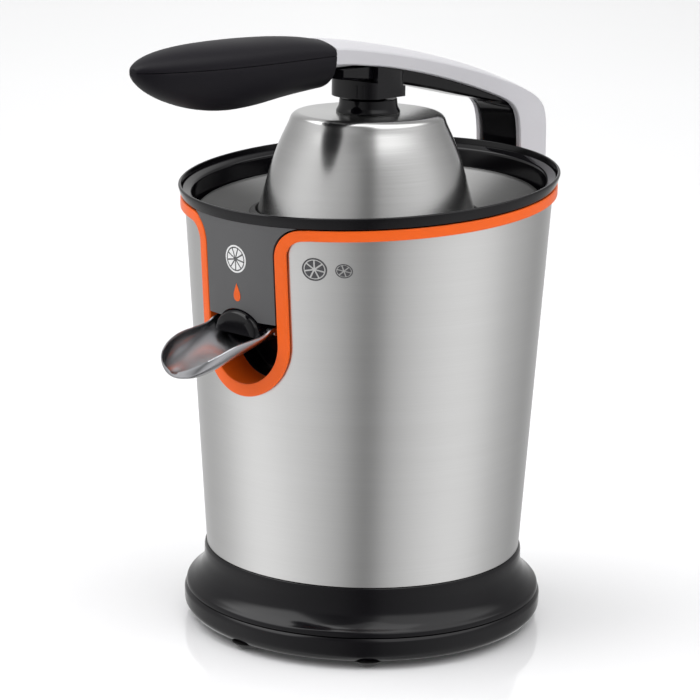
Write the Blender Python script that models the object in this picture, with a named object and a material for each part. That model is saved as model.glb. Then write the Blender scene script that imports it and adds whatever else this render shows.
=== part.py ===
"""Citrus press juicer: an assembly of named pieces, built in metres with +Z up.

Sizes below are millimetres from the press axis (x = y = 0), with the spout towards -Y.
Every mesh is scaled to metres as it is made.
"""

import math

import bmesh
import bpy
from mathutils import Matrix, Vector

MM = 0.001
GAP = 0.3
SHELL_STEPS = 32

# Driving sizes.
RIM_RADIUS = 90.0
RIM_HEIGHT = 215.8
RIM_SLOPE = 0.071
BODY_FOOT_RADIUS = 75.7
BODY_FOOT_HEIGHT = 34.3
BODY_TAPER = 0.0637
BODY_SHEET = 1.2
BASE_RADIUS = 86.6
FOOT_HEIGHT = 3.2
NICHE_HALF = 21.4
NICHE_CENTRE_Z = 150.0
TRIM_WIDTH = 6.0
PANEL_FOOT_Z = 159.0
LEVER_HALF = 14.5
PIVOT_Y = 104.5
PIVOT_Z = 188.0
PRESS_Y = -1.5
PRESS_PIN_Z = 258.0
SPOUT_PIN_Y = -79.5
SPOUT_PIN_Z = 154.8
HOOD_HALF = 13.6
HOOD_RISE = 10.5
HOOD_FOOT_Z = 152.6
HOOD_SPRING_Z = 153.0
HOOD_WALL = 2.2
BOWL_FLOOR_Z = 170.0
BOWL_FLOOR_SLOPE = 0.045
GEAR_MODULE = 1.2
PINION_TEETH = 10
WHEEL_TEETH = 40
GEAR_CENTRES = GEAR_MODULE * (PINION_TEETH + WHEEL_TEETH) / 2
SHAFT_RADIUS = 4.0
GRIP_TIP_Y = -149.0
COLUMN_BACK_Y = 118.2
FRAME_SHIFT = -(GRIP_TIP_Y + COLUMN_BACK_Y) / 2

# Finish: colour, roughness, metallic.
BRUSHED = ((0.62, 0.62, 0.61), 0.32, 1.0)
POLISHED = ((0.75, 0.75, 0.76), 0.12, 1.0)
BLACK_GLOSS = ((0.012, 0.012, 0.014), 0.12, 0.0)
BLACK_SATIN = ((0.05, 0.05, 0.055), 0.45, 0.0)
SOFT_BLACK = ((0.02, 0.02, 0.022), 0.7, 0.0)
RUBBER = ((0.02, 0.02, 0.02), 0.8, 0.0)
ORANGE = ((0.9, 0.14, 0.01), 0.25, 0.0)
SILVER_PAINT = ((0.62, 0.61, 0.64), 0.35, 0.6)
GREY_PLASTIC = ((0.35, 0.35, 0.36), 0.5, 0.0)
NATURAL_NYLON = ((0.8, 0.79, 0.74), 0.45, 0.0)
STEEL = ((0.5, 0.5, 0.5), 0.4, 1.0)
BRONZE = ((0.55, 0.35, 0.15), 0.4, 1.0)

FRAME = None


def clear_scene():
    """Remove every object of the open scene."""
    for item in list(bpy.data.objects):
        bpy.data.objects.remove(item, do_unlink=True)


def finish_material(name, finish):
    """One Principled material for one piece."""
    colour, roughness, metallic = finish
    material = bpy.data.materials.new(name + "_finish")
    material.use_nodes = True
    shader = material.node_tree.nodes["Principled BSDF"]
    shader.inputs["Base Color"].default_value = (*colour, 1.0)
    shader.inputs["Roughness"].default_value = roughness
    shader.inputs["Metallic"].default_value = metallic
    return material


def place(name, bm, finish, origin=(0.0, 0.0, 0.0)):
    """Make an object of a bmesh, with its own origin, hanging from the frame empty."""
    bmesh.ops.remove_doubles(bm, verts=bm.verts, dist=1e-6)
    bmesh.ops.recalc_face_normals(bm, faces=bm.faces)
    home = Vector(origin) * MM
    bmesh.ops.translate(bm, verts=bm.verts, vec=-home)
    mesh = bpy.data.meshes.new(name)
    bm.to_mesh(mesh)
    bm.free()
    mesh.shade_smooth()
    mesh.set_sharp_from_angle(angle=math.radians(35))
    item = bpy.data.objects.new(name, mesh)
    bpy.context.collection.objects.link(item)
    item.parent = FRAME
    item.location = home
    if finish is None:
        item.hide_render = True
        item.display_type = "WIRE"
    else:
        mesh.materials.append(finish_material(name, finish))
    return item


def combine(item, cutter, operation="DIFFERENCE"):
    """Add an exact Boolean with a hidden cutter."""
    step = item.modifiers.new(cutter.name, "BOOLEAN")
    step.operation = operation
    step.solver = "EXACT"
    step.object = cutter
    return item


def turned(profile, segments=32, centre=(0.0, 0.0)):
    """Spin a closed (radius, height) outline about a vertical axis."""
    bm = bmesh.new()
    spots = [bm.verts.new((radius * MM, 0.0, height * MM)) for radius, height in profile]
    edges = []
    for first, second in zip(spots, spots[1:] + spots[:1]):
        if first.co.x > 0 or second.co.x > 0:
            edges.append(bm.edges.new((first, second)))
    bmesh.ops.spin(bm, geom=spots + edges, cent=(0, 0, 0), axis=(0, 0, 1),
                   angle=2 * math.pi, steps=segments, use_merge=True)
    bmesh.ops.remove_doubles(bm, verts=bm.verts, dist=1e-6)
    bmesh.ops.translate(bm, verts=bm.verts, vec=(centre[0] * MM, centre[1] * MM, 0.0))
    return bm


def extruded(outline, axis, low, high):
    """Extrude a flat outline along x (y, z given), y (x, z given) or z (x, y given)."""
    layouts = {"x": (2, 0, 1), "y": (0, 2, 1), "z": (0, 1, 2)}
    order = layouts[axis]
    bm = bmesh.new()
    corners = []
    for first, second in outline:
        values = (first, second, low)
        corners.append(bm.verts.new([values[index] * MM for index in order]))
    face = bm.faces.new(corners)
    made = bmesh.ops.extrude_face_region(bm, geom=[face])
    new_verts = [part for part in made["geom"] if isinstance(part, bmesh.types.BMVert)]
    travel = [0.0, 0.0, 0.0]
    travel["xyz".index(axis)] = (high - low) * MM
    bmesh.ops.translate(bm, verts=new_verts, vec=travel)
    bmesh.ops.recalc_face_normals(bm, faces=bm.faces)
    return bm


def lofted(rings):
    """Skin closed rings of equal point counts, with flat caps at both ends."""
    bm = bmesh.new()
    verts = [bm.verts.new(Vector(point) * MM) for point in rings[0]]
    edges = [bm.edges.new(pair) for pair in zip(verts, verts[1:] + verts[:1])]
    bm.faces.new(verts)
    for ring in rings[1:]:
        before = list(verts)
        made = bmesh.ops.extrude_edge_only(bm, edges=edges)
        fresh = [part for part in made["geom"] if isinstance(part, bmesh.types.BMVert)]
        fresh_edges = [part for part in made["geom"] if isinstance(part, bmesh.types.BMEdge)]
        partners = {}
        for edge in (link for vert in fresh for link in vert.link_edges):
            ends = set(edge.verts)
            old = [vert for vert in ends if vert in before]
            if old:
                partners[old[0]] = (ends - set(old)).pop()
        verts = [partners[vert] for vert in before]
        edges = [edge for edge in fresh_edges if all(vert in verts for vert in edge.verts)]
        for vert, point in zip(verts, ring):
            vert.co = Vector(point) * MM
    bm.faces.new(verts)
    bmesh.ops.recalc_face_normals(bm, faces=bm.faces)
    return bm


def rod(radius, start, end, segments=12):
    """A solid round rod between two points."""
    start, end = Vector(start) * MM, Vector(end) * MM
    run = end - start
    turn = run.to_track_quat("Z", "Y").to_matrix().to_4x4() @ Matrix.Rotation(math.radians(5), 4, "Z")
    bm = bmesh.new()
    bmesh.ops.create_cone(bm, cap_ends=True, segments=segments, radius1=radius * MM,
                          radius2=radius * MM, depth=run.length,
                          matrix=Matrix.Translation((start + end) / 2) @ turn)
    return bm


def block(low, high):
    """A rectangular block between two corners."""
    outline = [(low[0], low[1]), (high[0], low[1]), (high[0], high[1]), (low[0], high[1])]
    return extruded(outline, "z", low[2], high[2])


def ring_of(bm, count):
    """Repeat a bmesh evenly round the drive axis, keeping one mesh."""
    source = list(bm.verts) + list(bm.edges) + list(bm.faces)
    for step in range(1, count):
        made = bmesh.ops.duplicate(bm, geom=source)
        fresh = [part for part in made["geom"] if isinstance(part, bmesh.types.BMVert)]
        bmesh.ops.rotate(bm, verts=fresh, cent=(0, 0, 0),
                         matrix=Matrix.Rotation(2 * math.pi * step / count, 3, "Z"))
    return bm


def tilt_above(bm, height, slope):
    """Lean everything above a height: it rises by slope for each step towards the back."""
    for vert in bm.verts:
        if vert.co.z > height * MM:
            vert.co.z += slope * vert.co.y
    return bm


def arc(centre, radius, start, end, steps):
    """Points along an arc, with angles in degrees."""
    points = []
    for step in range(steps + 1):
        angle = math.radians(start + (end - start) * step / steps)
        points.append((centre[0] + radius * math.cos(angle), centre[1] + radius * math.sin(angle)))
    return points


def body_radius(height):
    """Outer radius of the steel body at a height."""
    return BODY_FOOT_RADIUS + BODY_TAPER * (height - BODY_FOOT_HEIGHT)


def rim(drop):
    """Height of the rim plane over the axis, less a drop."""
    return RIM_HEIGHT - drop


def u_outline(half_width, top, fillet=0.0):
    """Outline (x, z) of the niche shape: a half round foot, straight sides, flared top corners."""
    right = arc((0.0, NICHE_CENTRE_Z), half_width, -90, 0, 8)
    if fillet:
        right += arc((half_width + fillet, top - fillet), fillet, 180, 90, 5)
        right.append((half_width + fillet, top + 20))
    else:
        right.append((half_width, top))
    left = [(-x, z) for x, z in reversed(right[1:])]
    return right + left


def cone_shell(inner_offset, outer_offset, low, high):
    """Shell that follows the steel body, offset from its outer face."""
    return turned([(body_radius(low) + outer_offset, low), (body_radius(high) + outer_offset, high),
                   (body_radius(high) + inner_offset, high), (body_radius(low) + inner_offset, low)], SHELL_STEPS)


# ---------------------------------------------------------------- base

def build_base():
    """Feet, pan, collar, screws and cord gland."""
    foot_angles = (0, 45, 135, 180, 225, 315)
    for number, angle in enumerate(foot_angles, 1):
        spot = (78.0 * math.sin(math.radians(angle)), -78.0 * math.cos(math.radians(angle)))
        foot = turned([(0, 0), (3.6, 0), (7.8, FOOT_HEIGHT), (0, FOOT_HEIGHT)], 12, spot)
        place(f"foot_{number}", foot, RUBBER)

    floor = FOOT_HEIGHT + GAP
    pan = place("base_pan", turned([(0, floor), (84.8, floor), (BASE_RADIUS, 5.2), (BASE_RADIUS, 15),
                                    (84.2, 15), (84.2, 6), (0, 6)], SHELL_STEPS), BLACK_GLOSS)
    vents = ring_of(block((-2, -66, 0), (2, -54, 9)), 6)
    combine(pan, place("cut_pan_vents", vents, None))
    first_screw = (24.0, 41.57)
    stepped = turned([(0, 2), (3.7, 2), (3.7, 5), (2.0, 5), (2.0, 14.6), (0, 14.6)], 12, first_screw)
    holes = place("cut_base_screws", ring_of(stepped, 3), None)
    combine(pan, holes)
    for number in range(3):
        turn = Matrix.Rotation(2 * math.pi * number / 3, 2)
        screw = turned([(0, 3.8), (3.3, 3.8), (3.3, 4.6), (1.6, 4.7), (1.6, 14), (0, 14)], 12,
                       turn @ Vector(first_screw))
        place(f"base_screw_{number + 1}", screw, STEEL)

    place("base_collar", turned([(85.8, 15.3), (83.8, 19.5), (78.7, 23), (76.7, 29), (76.3, 36),
                                 (74.4, 36), (74.4, 40), (72.6, 40), (72.6, 32), (78.5, 19.5), (83.2, 15.3)],
                                SHELL_STEPS), BLACK_GLOSS)
    gland_y = body_radius(52)
    gland = rod(4.2, (0, gland_y - 9, 52), (0, gland_y + 1, 52))
    flange = rod(7.5, (0, gland_y + 0.5, 52), (0, gland_y + 5, 52))
    combine(place("cord_gland", gland, RUBBER), place("cut_gland_flange", flange, None), "UNION")
    return holes


# ---------------------------------------------------------------- body

def build_body():
    """Steel body, orange trim, rim with its front panel and the niche liner."""
    low, high = BODY_FOOT_HEIGHT + 2.0, rim(6.6)
    steel = turned([(body_radius(low), low), (body_radius(high), high),
                    (body_radius(high) - BODY_SHEET, high), (body_radius(low) - BODY_SHEET, low)], SHELL_STEPS)
    body = place("steel_body", tilt_above(steel, 150, RIM_SLOPE), BRUSHED)
    window = u_outline(NICHE_HALF + 3.0, 201.5, 11)
    combine(body, place("cut_body_window", extruded(window, "y", -110, -40), None))
    combine(body, place("cut_body_gland", rod(4.6, (0, 60, 52), (0, 95, 52)), None))
    for number, height in enumerate((146, 158), 1):
        combine(body, place(f"cut_body_screw_{number}", rod(2.2, (0, 70, height), (0, 95, height), 12), None))

    band = turned([(88.9, rim(10.8)), (88.9, rim(5.9)), (87.2, rim(5.9)), (87.2, rim(10.8))], SHELL_STEPS)
    trim = place("accent_trim", tilt_above(band, 100, RIM_SLOPE), ORANGE)
    outer = u_outline(NICHE_HALF + TRIM_WIDTH, 200.0, 8)
    strip = place("cut_trim_shell", cone_shell(GAP + 0.1, 2.0, 118, 201.5), None)
    combine(strip, place("cut_trim_stencil", extruded(outer, "y", -120, -40), None), "INTERSECT")
    opening = place("cut_trim_opening", extruded(u_outline(NICHE_HALF, 204.5, 14), "y", -120, -40), None)
    combine(strip, opening)
    combine(trim, opening)
    combine(trim, strip, "UNION")

    collar = turned([(88.3, rim(5.5)), (89.7, rim(1.4)), (RIM_RADIUS, rim(0.5)), (89.6, rim(0)),
                     (88.6, rim(0)), (88.4, rim(5.0)), (85.4, rim(5.0)), (85.4, rim(6.2)),
                     (87.0, rim(6.2)), (87.0, rim(5.5))], SHELL_STEPS)
    rim_collar = place("rim_collar", tilt_above(collar, 100, RIM_SLOPE), BLACK_GLOSS)
    panel_shell = place("cut_panel_shell", cone_shell(-0.9, 1.9, PANEL_FOOT_Z, 204.6), None)
    inner = u_outline(NICHE_HALF - GAP, 204.5 + GAP, 14 + GAP)
    combine(panel_shell, place("cut_panel_stencil", extruded(inner, "y", -120, -40), None), "INTERSECT")
    combine(rim_collar, panel_shell, "UNION")
    hood = arch_outline(HOOD_HALF + GAP, HOOD_RISE + GAP, 150.0)
    combine(rim_collar, place("cut_panel_hood", extruded(hood, "y", -120, -60), None))

    shell = u_outline(NICHE_HALF + 1.2, 163.2)
    liner = place("niche_liner", extruded(shell, "y", -78.2, -54.5), BLACK_GLOSS)
    cavity = u_outline(NICHE_HALF - 0.2, 190)
    combine(liner, place("cut_niche_cavity", extruded(cavity, "y", -120, -56.5), None))
    return body


def arch_outline(half_width, rise, foot=HOOD_FOOT_Z, spring=HOOD_SPRING_Z):
    """Outline (x, z) of the flattened arch over the nozzle."""
    crown = [(half_width * x, spring + rise * z) for x, z in arc((0.0, 0.0), 1.0, 0, 180, 12)]
    return [(half_width, foot)] + crown + [(-half_width, foot)]


# ---------------------------------------------------------------- juice path

def build_juice_path():
    """Bowl, strainer, outlet nozzle, spout and its pin."""
    floor = BOWL_FLOOR_Z
    bowl = turned([(88.0, rim(2.3)), (83.4, rim(4.0)), (81.6, 181), (78, floor + 2.5), (72, floor),
                   (11.0, floor), (11.0, 184.6), (7.6, 184.6), (7.6, floor - 2), (72.6, floor - 2),
                   (79.6, floor + 1), (83.2, 180), (84.9, rim(4.4)), (88.0, rim(4.4))], SHELL_STEPS)
    tilt_above(bowl, 200, RIM_SLOPE)
    for vert in bowl.verts:
        radius = math.hypot(vert.co.x, vert.co.y)
        if vert.co.z < 173 * MM and radius > 12 * MM:
            vert.co.z += BOWL_FLOOR_SLOPE * vert.co.y
    basin = place("juice_bowl", bowl, BLACK_GLOSS)
    combine(basin, place("cut_bowl_outlet", rod(5.0, (0, -64, 150), (0, -64, 180)), None))
    sieve = turned([(80.4, 203.6), (60, 190.6), (44, 185.9), (12, 185.9),
                    (12, 184.8), (44.3, 184.8), (60.6, 189.5), (80.4, 202.2)], SHELL_STEPS)
    place("strainer", tilt_above(sieve, 200, RIM_SLOPE), BRUSHED)

    front = -88.0
    hood = place("outlet_nozzle", extruded(arch_outline(HOOD_HALF, HOOD_RISE), "y", front, -57.0), BLACK_GLOSS)
    hollow = arch_outline(HOOD_HALF - HOOD_WALL, HOOD_RISE - HOOD_WALL, 140.0)
    combine(hood, place("cut_hood_hollow", extruded(hollow, "y", front + HOOD_WALL, -73.0), None))
    combine(hood, place("cut_nozzle_bore", rod(4.6, (0, -56.0, 171), (0, -78.0, 154.0)), None))
    combine(hood, place("cut_spout_pin_bore", rod(1.8, (-20, SPOUT_PIN_Y, SPOUT_PIN_Z),
                                                  (20, SPOUT_PIN_Y, SPOUT_PIN_Z), 12), None))
    place("spout_pin", rod(1.5, (-18.4, SPOUT_PIN_Y, SPOUT_PIN_Z), (18.4, SPOUT_PIN_Y, SPOUT_PIN_Z), 12),
          STEEL)
    build_spout()


# Spout stations: y, half width, height of the edge, height of the floor.
SPOUT = [(-75.5, 18.6, 157.6, 147.6), (-82.5, 18.8, 157.6, 147.4), (-85.5, 19.0, 154.0, 147.0),
         (-95.0, 19.0, 153.6, 144.2), (-105.0, 18.8, 152.0, 140.6), (-112.0, 17.6, 149.8, 138.3),
         (-117.5, 15.0, 147.0, 137.4), (-122.0, 11.2, 144.0, 137.5), (-125.2, 5.4, 141.4, 138.2)]
SPOUT_WALL = 1.2


def trough_ring(y, half, edge, floor):
    """Closed section of the scoop at one place along it: outer half ellipse, then the inner one back."""
    ring = []
    for width, low, start, end in ((half, floor, 0, 180), (half - SPOUT_WALL, floor + SPOUT_WALL, 180, 0)):
        for across, down in arc((0.0, 0.0), 1.0, start, end, 12):
            ring.append((width * across, y, edge - (edge - low) * down))
    return ring


def build_spout():
    """Polished scoop that tilts on its pin and narrows to a rounded pouring lip."""
    rings = [trough_ring(*station) for station in SPOUT]
    spout = place("pour_spout", lofted(rings), POLISHED, (0, SPOUT_PIN_Y, SPOUT_PIN_Z))
    combine(spout, bpy.data.objects["cut_spout_pin_bore"])


# ---------------------------------------------------------------- press head

DOME = [(33.0, 245.5), (35.6, 244.2), (37.1, 240.5), (44.1, 223.8), (49.7, 204.4), (53.0, 195.0)]


def press(bm):
    """Move a bmesh from the drive axis to the press axis."""
    bmesh.ops.translate(bm, verts=bm.verts, vec=(0, PRESS_Y * MM, 0))
    return bm


def build_press_head():
    """Dome, inner cup, gasket, neck, nut, hub and pin."""
    pin = (0, PRESS_Y, PRESS_PIN_Z)
    inside = [(radius - 1.2, height - (1.2 if radius < 36 else 0.3)) for radius, height in DOME[:-1]]
    inside.append((51.7, 195.0))
    shell = [(4.6, 245.5)] + DOME + list(reversed(inside)) + [(4.6, 244.3)]
    place("press_dome", press(turned(shell, SHELL_STEPS)), BRUSHED, pin)

    cup_outer = [(radius - 1.6, height - (1.6 if radius < 36 else 0.6)) for radius, height in DOME[:-1]]
    cup_outer.append((51.2, 195.6))
    cup_inner = [(radius - 2.4, height - (2.2 if radius < 34.5 else 0.4)) for radius, height in cup_outer]
    cup_inner[-1] = (48.8, 195.6)
    cup = [(4.6, 243.9)] + cup_outer + list(reversed(cup_inner)) + [(4.6, 241.7)]
    place("press_cup", press(turned(cup, 24)), GREY_PLASTIC, pin)

    gasket = [(53.4, 195.6), (55.5, 195.9), (55.5, 198.2), (52.3, 199.2)]
    place("dome_gasket", press(turned(gasket, SHELL_STEPS)), RUBBER, pin)
    neck = place("press_neck", press(turned([(0, 238.0), (4.2, 238.0), (4.2, 245.8), (14.4, 245.8),
                                             (14.4, 246.5), (13.7, 252.2), (7.4, 252.2), (7.4, 261.0),
                                             (6.2, 262.0), (0, 262.0)], 20)), BLACK_GLOSS, pin)
    pin_bore = place("cut_pin_bore", rod(2.3, (-20, PRESS_Y, PRESS_PIN_Z), (20, PRESS_Y, PRESS_PIN_Z), 12),
                     None)
    combine(neck, pin_bore)
    nut = place("dome_nut", rod(7.0, (0, PRESS_Y, 236.6), (0, PRESS_Y, 241.3), 6), STEEL, pin)
    combine(nut, place("cut_nut_bore", rod(4.5, (0, PRESS_Y, 230), (0, PRESS_Y, 250), 16), None))

    flats = math.degrees(math.acos(LEVER_HALF / 17.3))
    outline = arc((0, PRESS_Y), 17.3, flats, 180 - flats, 10) + arc((0, PRESS_Y), 17.3, 180 + flats,
                                                                      360 - flats, 10)
    hub = extruded(outline, "z", 253.5, 259.4)
    for vert in hub.verts:
        if vert.co.z > 257 * MM:
            vert.co.z -= 0.145 * vert.co.y
    hub_piece = place("press_hub", hub, BLACK_GLOSS, (0, PIVOT_Y, PIVOT_Z))
    combine(hub_piece, place("cut_hub_socket", rod(9.0, (0, PRESS_Y, 250), (0, PRESS_Y, 264.5)), None))
    combine(hub_piece, pin_bore)
    place("pivot_pin", rod(2.0, (-14.2, PRESS_Y, PRESS_PIN_Z), (14.2, PRESS_Y, PRESS_PIN_Z), 12), STEEL,
          (0, PIVOT_Y, PIVOT_Z))


# ---------------------------------------------------------------- lever

# Side view (y, z) of the arm: upper edge of the side faces, then their lower edge, in pairs.
ARM_STATIONS = [((-38.7, 279.0), (-38.7, 271.5)), ((-30, 278.5), (-30, 271.2)), ((0, 274.0), (-1, 267.7)),
                ((31.7, 267.8), (28.5, 261.6)), ((64.5, 259.8), (59, 253.2)), ((90.2, 251.6), (80, 246.2)),
                ((102.5, 246.6), (86.5, 243.2)), ((110.3, 241.6), (90.3, 239.8)), ((113.6, 235), (92.6, 235)),
                ((114.3, 226), (94, 226)), ((114.6, 205), (94.5, 205)), ((114.6, 181), (94.5, 181))]
ARM_WALL = 2.6
CROWN = 3.6


def arm_frame(station):
    """Upper edge, lower edge and the unit step from lower to upper edge."""
    top, bottom = Vector(station[0]), Vector(station[1])
    return top, bottom, (top - bottom).normalized()


def build_lever():
    """Arm, liner, core, grip halves, screw, and the rear hinge."""
    origin = (0, PIVOT_Y, PIVOT_Z)
    rings = []
    inner_x = LEVER_HALF - ARM_WALL
    for station in ARM_STATIONS:
        top, bottom, out = arm_frame(station)
        spots = [(LEVER_HALF, bottom), (LEVER_HALF, top), (8.5, top + out * CROWN * 0.72),
                 (0, top + out * CROWN), (-8.5, top + out * CROWN * 0.72), (-LEVER_HALF, top),
                 (-LEVER_HALF, bottom), (-inner_x, bottom), (-inner_x, top - out * 1.4),
                 (0, top + out * (CROWN - ARM_WALL)), (inner_x, top - out * 1.4), (inner_x, bottom)]
        rings.append([(x, spot.x, spot.y) for x, spot in spots])
    arm = place("lever_arm", lofted(rings), SILVER_PAINT, origin)
    hinge_bore = place("cut_hinge_bore", rod(3.3, (-20, PIVOT_Y, PIVOT_Z), (20, PIVOT_Y, PIVOT_Z), 16), None)
    combine(arm, hinge_bore)
    place("hinge_pin", rod(3.0, (-14.3, PIVOT_Y, PIVOT_Z), (14.3, PIVOT_Y, PIVOT_Z), 16), STEEL, origin)

    liner_x = inner_x - GAP
    rings = []
    drops = (7.2, 7.0, 6.6, 5.6, 4.0, 1.0, 0.0, -0.5, -1.0, -1.0, -1.0)
    stations = [((-31, 278.6), (-31, 271.2))] + ARM_STATIONS[2:10] + [((114.6, 214), (94.5, 214)),
                                                                      ((114.6, 198), (94.5, 198))]
    for station, drop in zip(stations, drops):
        top, bottom, out = arm_frame(station)
        ceiling = top - out * 1.8
        if station[0][0] < 10:
            ceiling = Vector((top.x, 268.4))
        floor = bottom - out * drop
        rings.append([(liner_x, *ceiling), (-liner_x, *ceiling), (-liner_x, *floor), (liner_x, *floor)])
    liner = place("lever_liner", lofted(rings), BLACK_GLOSS, origin)
    combine(liner, place("cut_liner_socket", rod(10.0, (0, PRESS_Y, 250), (0, PRESS_Y, 265.0)), None))
    place("grip_core", block((-6, -118, 269.2), (6, -3, 273.6)), STEEL, origin)
    build_grip(origin)

    tongue = arc((PIVOT_Y, PIVOT_Z), 6.5, -90, 90, 10) + [(88.5, PIVOT_Z + 6.5), (88.5, PIVOT_Z - 6.5)]
    bracket = place("hinge_bracket", extruded(tongue, "x", -10, 10), BLACK_SATIN)
    plate = extruded([(-17, 76), (17, 76), (17, 91.2), (-17, 91.2)], "z", 140, 206)
    plate_piece = place("cut_bracket_plate", plate, None)
    combine(plate_piece, place("cut_bracket_seat", cone_shell(-40, GAP, 120, 230), None))
    combine(bracket, plate_piece, "UNION")
    combine(bracket, hinge_bore)
    backing = extruded([(-13, 71), (13, 71), (13, 96), (-13, 96)], "z", 141, 163)
    back_piece = place("bracket_backplate", backing, STEEL)
    combine(back_piece, place("cut_backplate_band", cone_shell(-4.7, -1.6, 119, 181), None), "INTERSECT")
    for number, height in enumerate((146, 158), 1):
        hole = turned([(0, 0), (2.2, 0), (2.2, 22), (4.2, 22), (4.2, 40), (0, 40)], 12)
        bmesh.ops.rotate(hole, verts=hole.verts, cent=(0, 0, 0), matrix=Matrix.Rotation(-math.pi / 2, 3, "X"))
        bmesh.ops.translate(hole, verts=hole.verts, vec=(0, 66.5 * MM, height * MM))
        cutter = place(f"cut_bracket_screw_{number}", hole, None)
        combine(bracket, cutter)
        combine(back_piece, cutter)
        screw = turned([(0, 0), (1.8, 0), (1.8, 16), (3.8, 16), (3.8, 17.6), (0, 17.6)], 12)
        bmesh.ops.rotate(screw, verts=screw.verts, cent=(0, 0, 0), matrix=Matrix.Rotation(-math.pi / 2, 3, "X"))
        bmesh.ops.translate(screw, verts=screw.verts, vec=(0, 73.0 * MM, height * MM))
        place(f"bracket_screw_{number}", screw, STEEL)


# Grip stations: y, half width, crown height, belly height.
GRIP = [(-39.2, 15.2, 282.4, 260.0), (-48, 15.8, 284.0, 259.4), (-64, 16.8, 285.4, 258.0),
        (-82, 17.8, 286.0, 255.6), (-99, 18.0, 286.0, 254.9), (-116, 16.6, 285.5, 257.2),
        (-130, 13.4, 284.2, 261.4), (-140, 9.6, 282.2, 266.0), (-146.5, 5.6, 279.6, 270.8),
        (GRIP_TIP_Y, 2.2, 277.6, 274.0)]
SEAM_Z = 276.0


def build_grip(origin):
    """Upper and lower half of the grip, parted at the seam, and the screw that holds them."""
    for name, upper in (("grip_upper", True), ("grip_lower", False)):
        rings = []
        for y, half, crown, belly in GRIP:
            reach = crown - SEAM_Z if upper else belly - SEAM_Z + GAP
            base = SEAM_Z if upper else SEAM_Z - GAP
            ring = []
            for x, z in arc((0, 0), 1.0, 0, 180, 10):
                ring.append((half * x, y, base + reach * z ** 0.85 if z > 1e-6 else base))
            rings.append(ring)
        half_piece = place(name, lofted(rings), SOFT_BLACK, origin)
        if not upper:
            combine(half_piece, place("cut_core_pocket", block((-6.3, -118.3, 268.9), (6.3, 0, 280)), None))
            hole = turned([(0, 240), (3.6, 240), (3.6, 261), (2.0, 261), (2.0, 290), (0, 290)], 12, (0, -90))
            screw_hole = place("cut_grip_screw", hole, None)
            combine(half_piece, screw_hole)
            combine(bpy.data.objects["grip_core"], screw_hole)
    screw = turned([(0, 258.6), (3.3, 258.6), (3.3, 260.2), (1.6, 260.7), (1.6, 274.6), (0, 274.6)], 12, (0, -90))
    place("grip_screw", screw, STEEL, origin)


# ---------------------------------------------------------------- drive

def star(count, root, tip, root_share, tip_share, centre=(0.0, 0.0), turn=0.0):
    """Outline of a wheel with straight-sided teeth or blades; shares are of one pitch, half width."""
    pitch = 2 * math.pi / count
    points = []
    for tooth in range(count):
        middle = turn + tooth * pitch
        for radius, offset in ((root, -root_share), (tip, -tip_share), (tip, tip_share), (root, root_share)):
            angle = middle + offset * pitch
            points.append((centre[0] + radius * math.cos(angle), centre[1] + radius * math.sin(angle)))
    return points


def gear(teeth, centre, turn):
    """Tooth outline of one gear."""
    pitch_radius = teeth * GEAR_MODULE / 2
    return star(teeth, pitch_radius - 1.25 * GEAR_MODULE, pitch_radius + 0.75 * GEAR_MODULE, 0.27, 0.11,
                centre, turn)


def reamer_ring(radius, height, ribs, depth):
    """Ribbed round section of a reamer: four points to a rib."""
    points = []
    for step in range(ribs * 4):
        angle = 2 * math.pi * step / (ribs * 4)
        reach = radius * (1 + depth * math.cos(ribs * angle))
        points.append((reach * math.cos(angle), reach * math.sin(angle), height))
    return points


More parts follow.
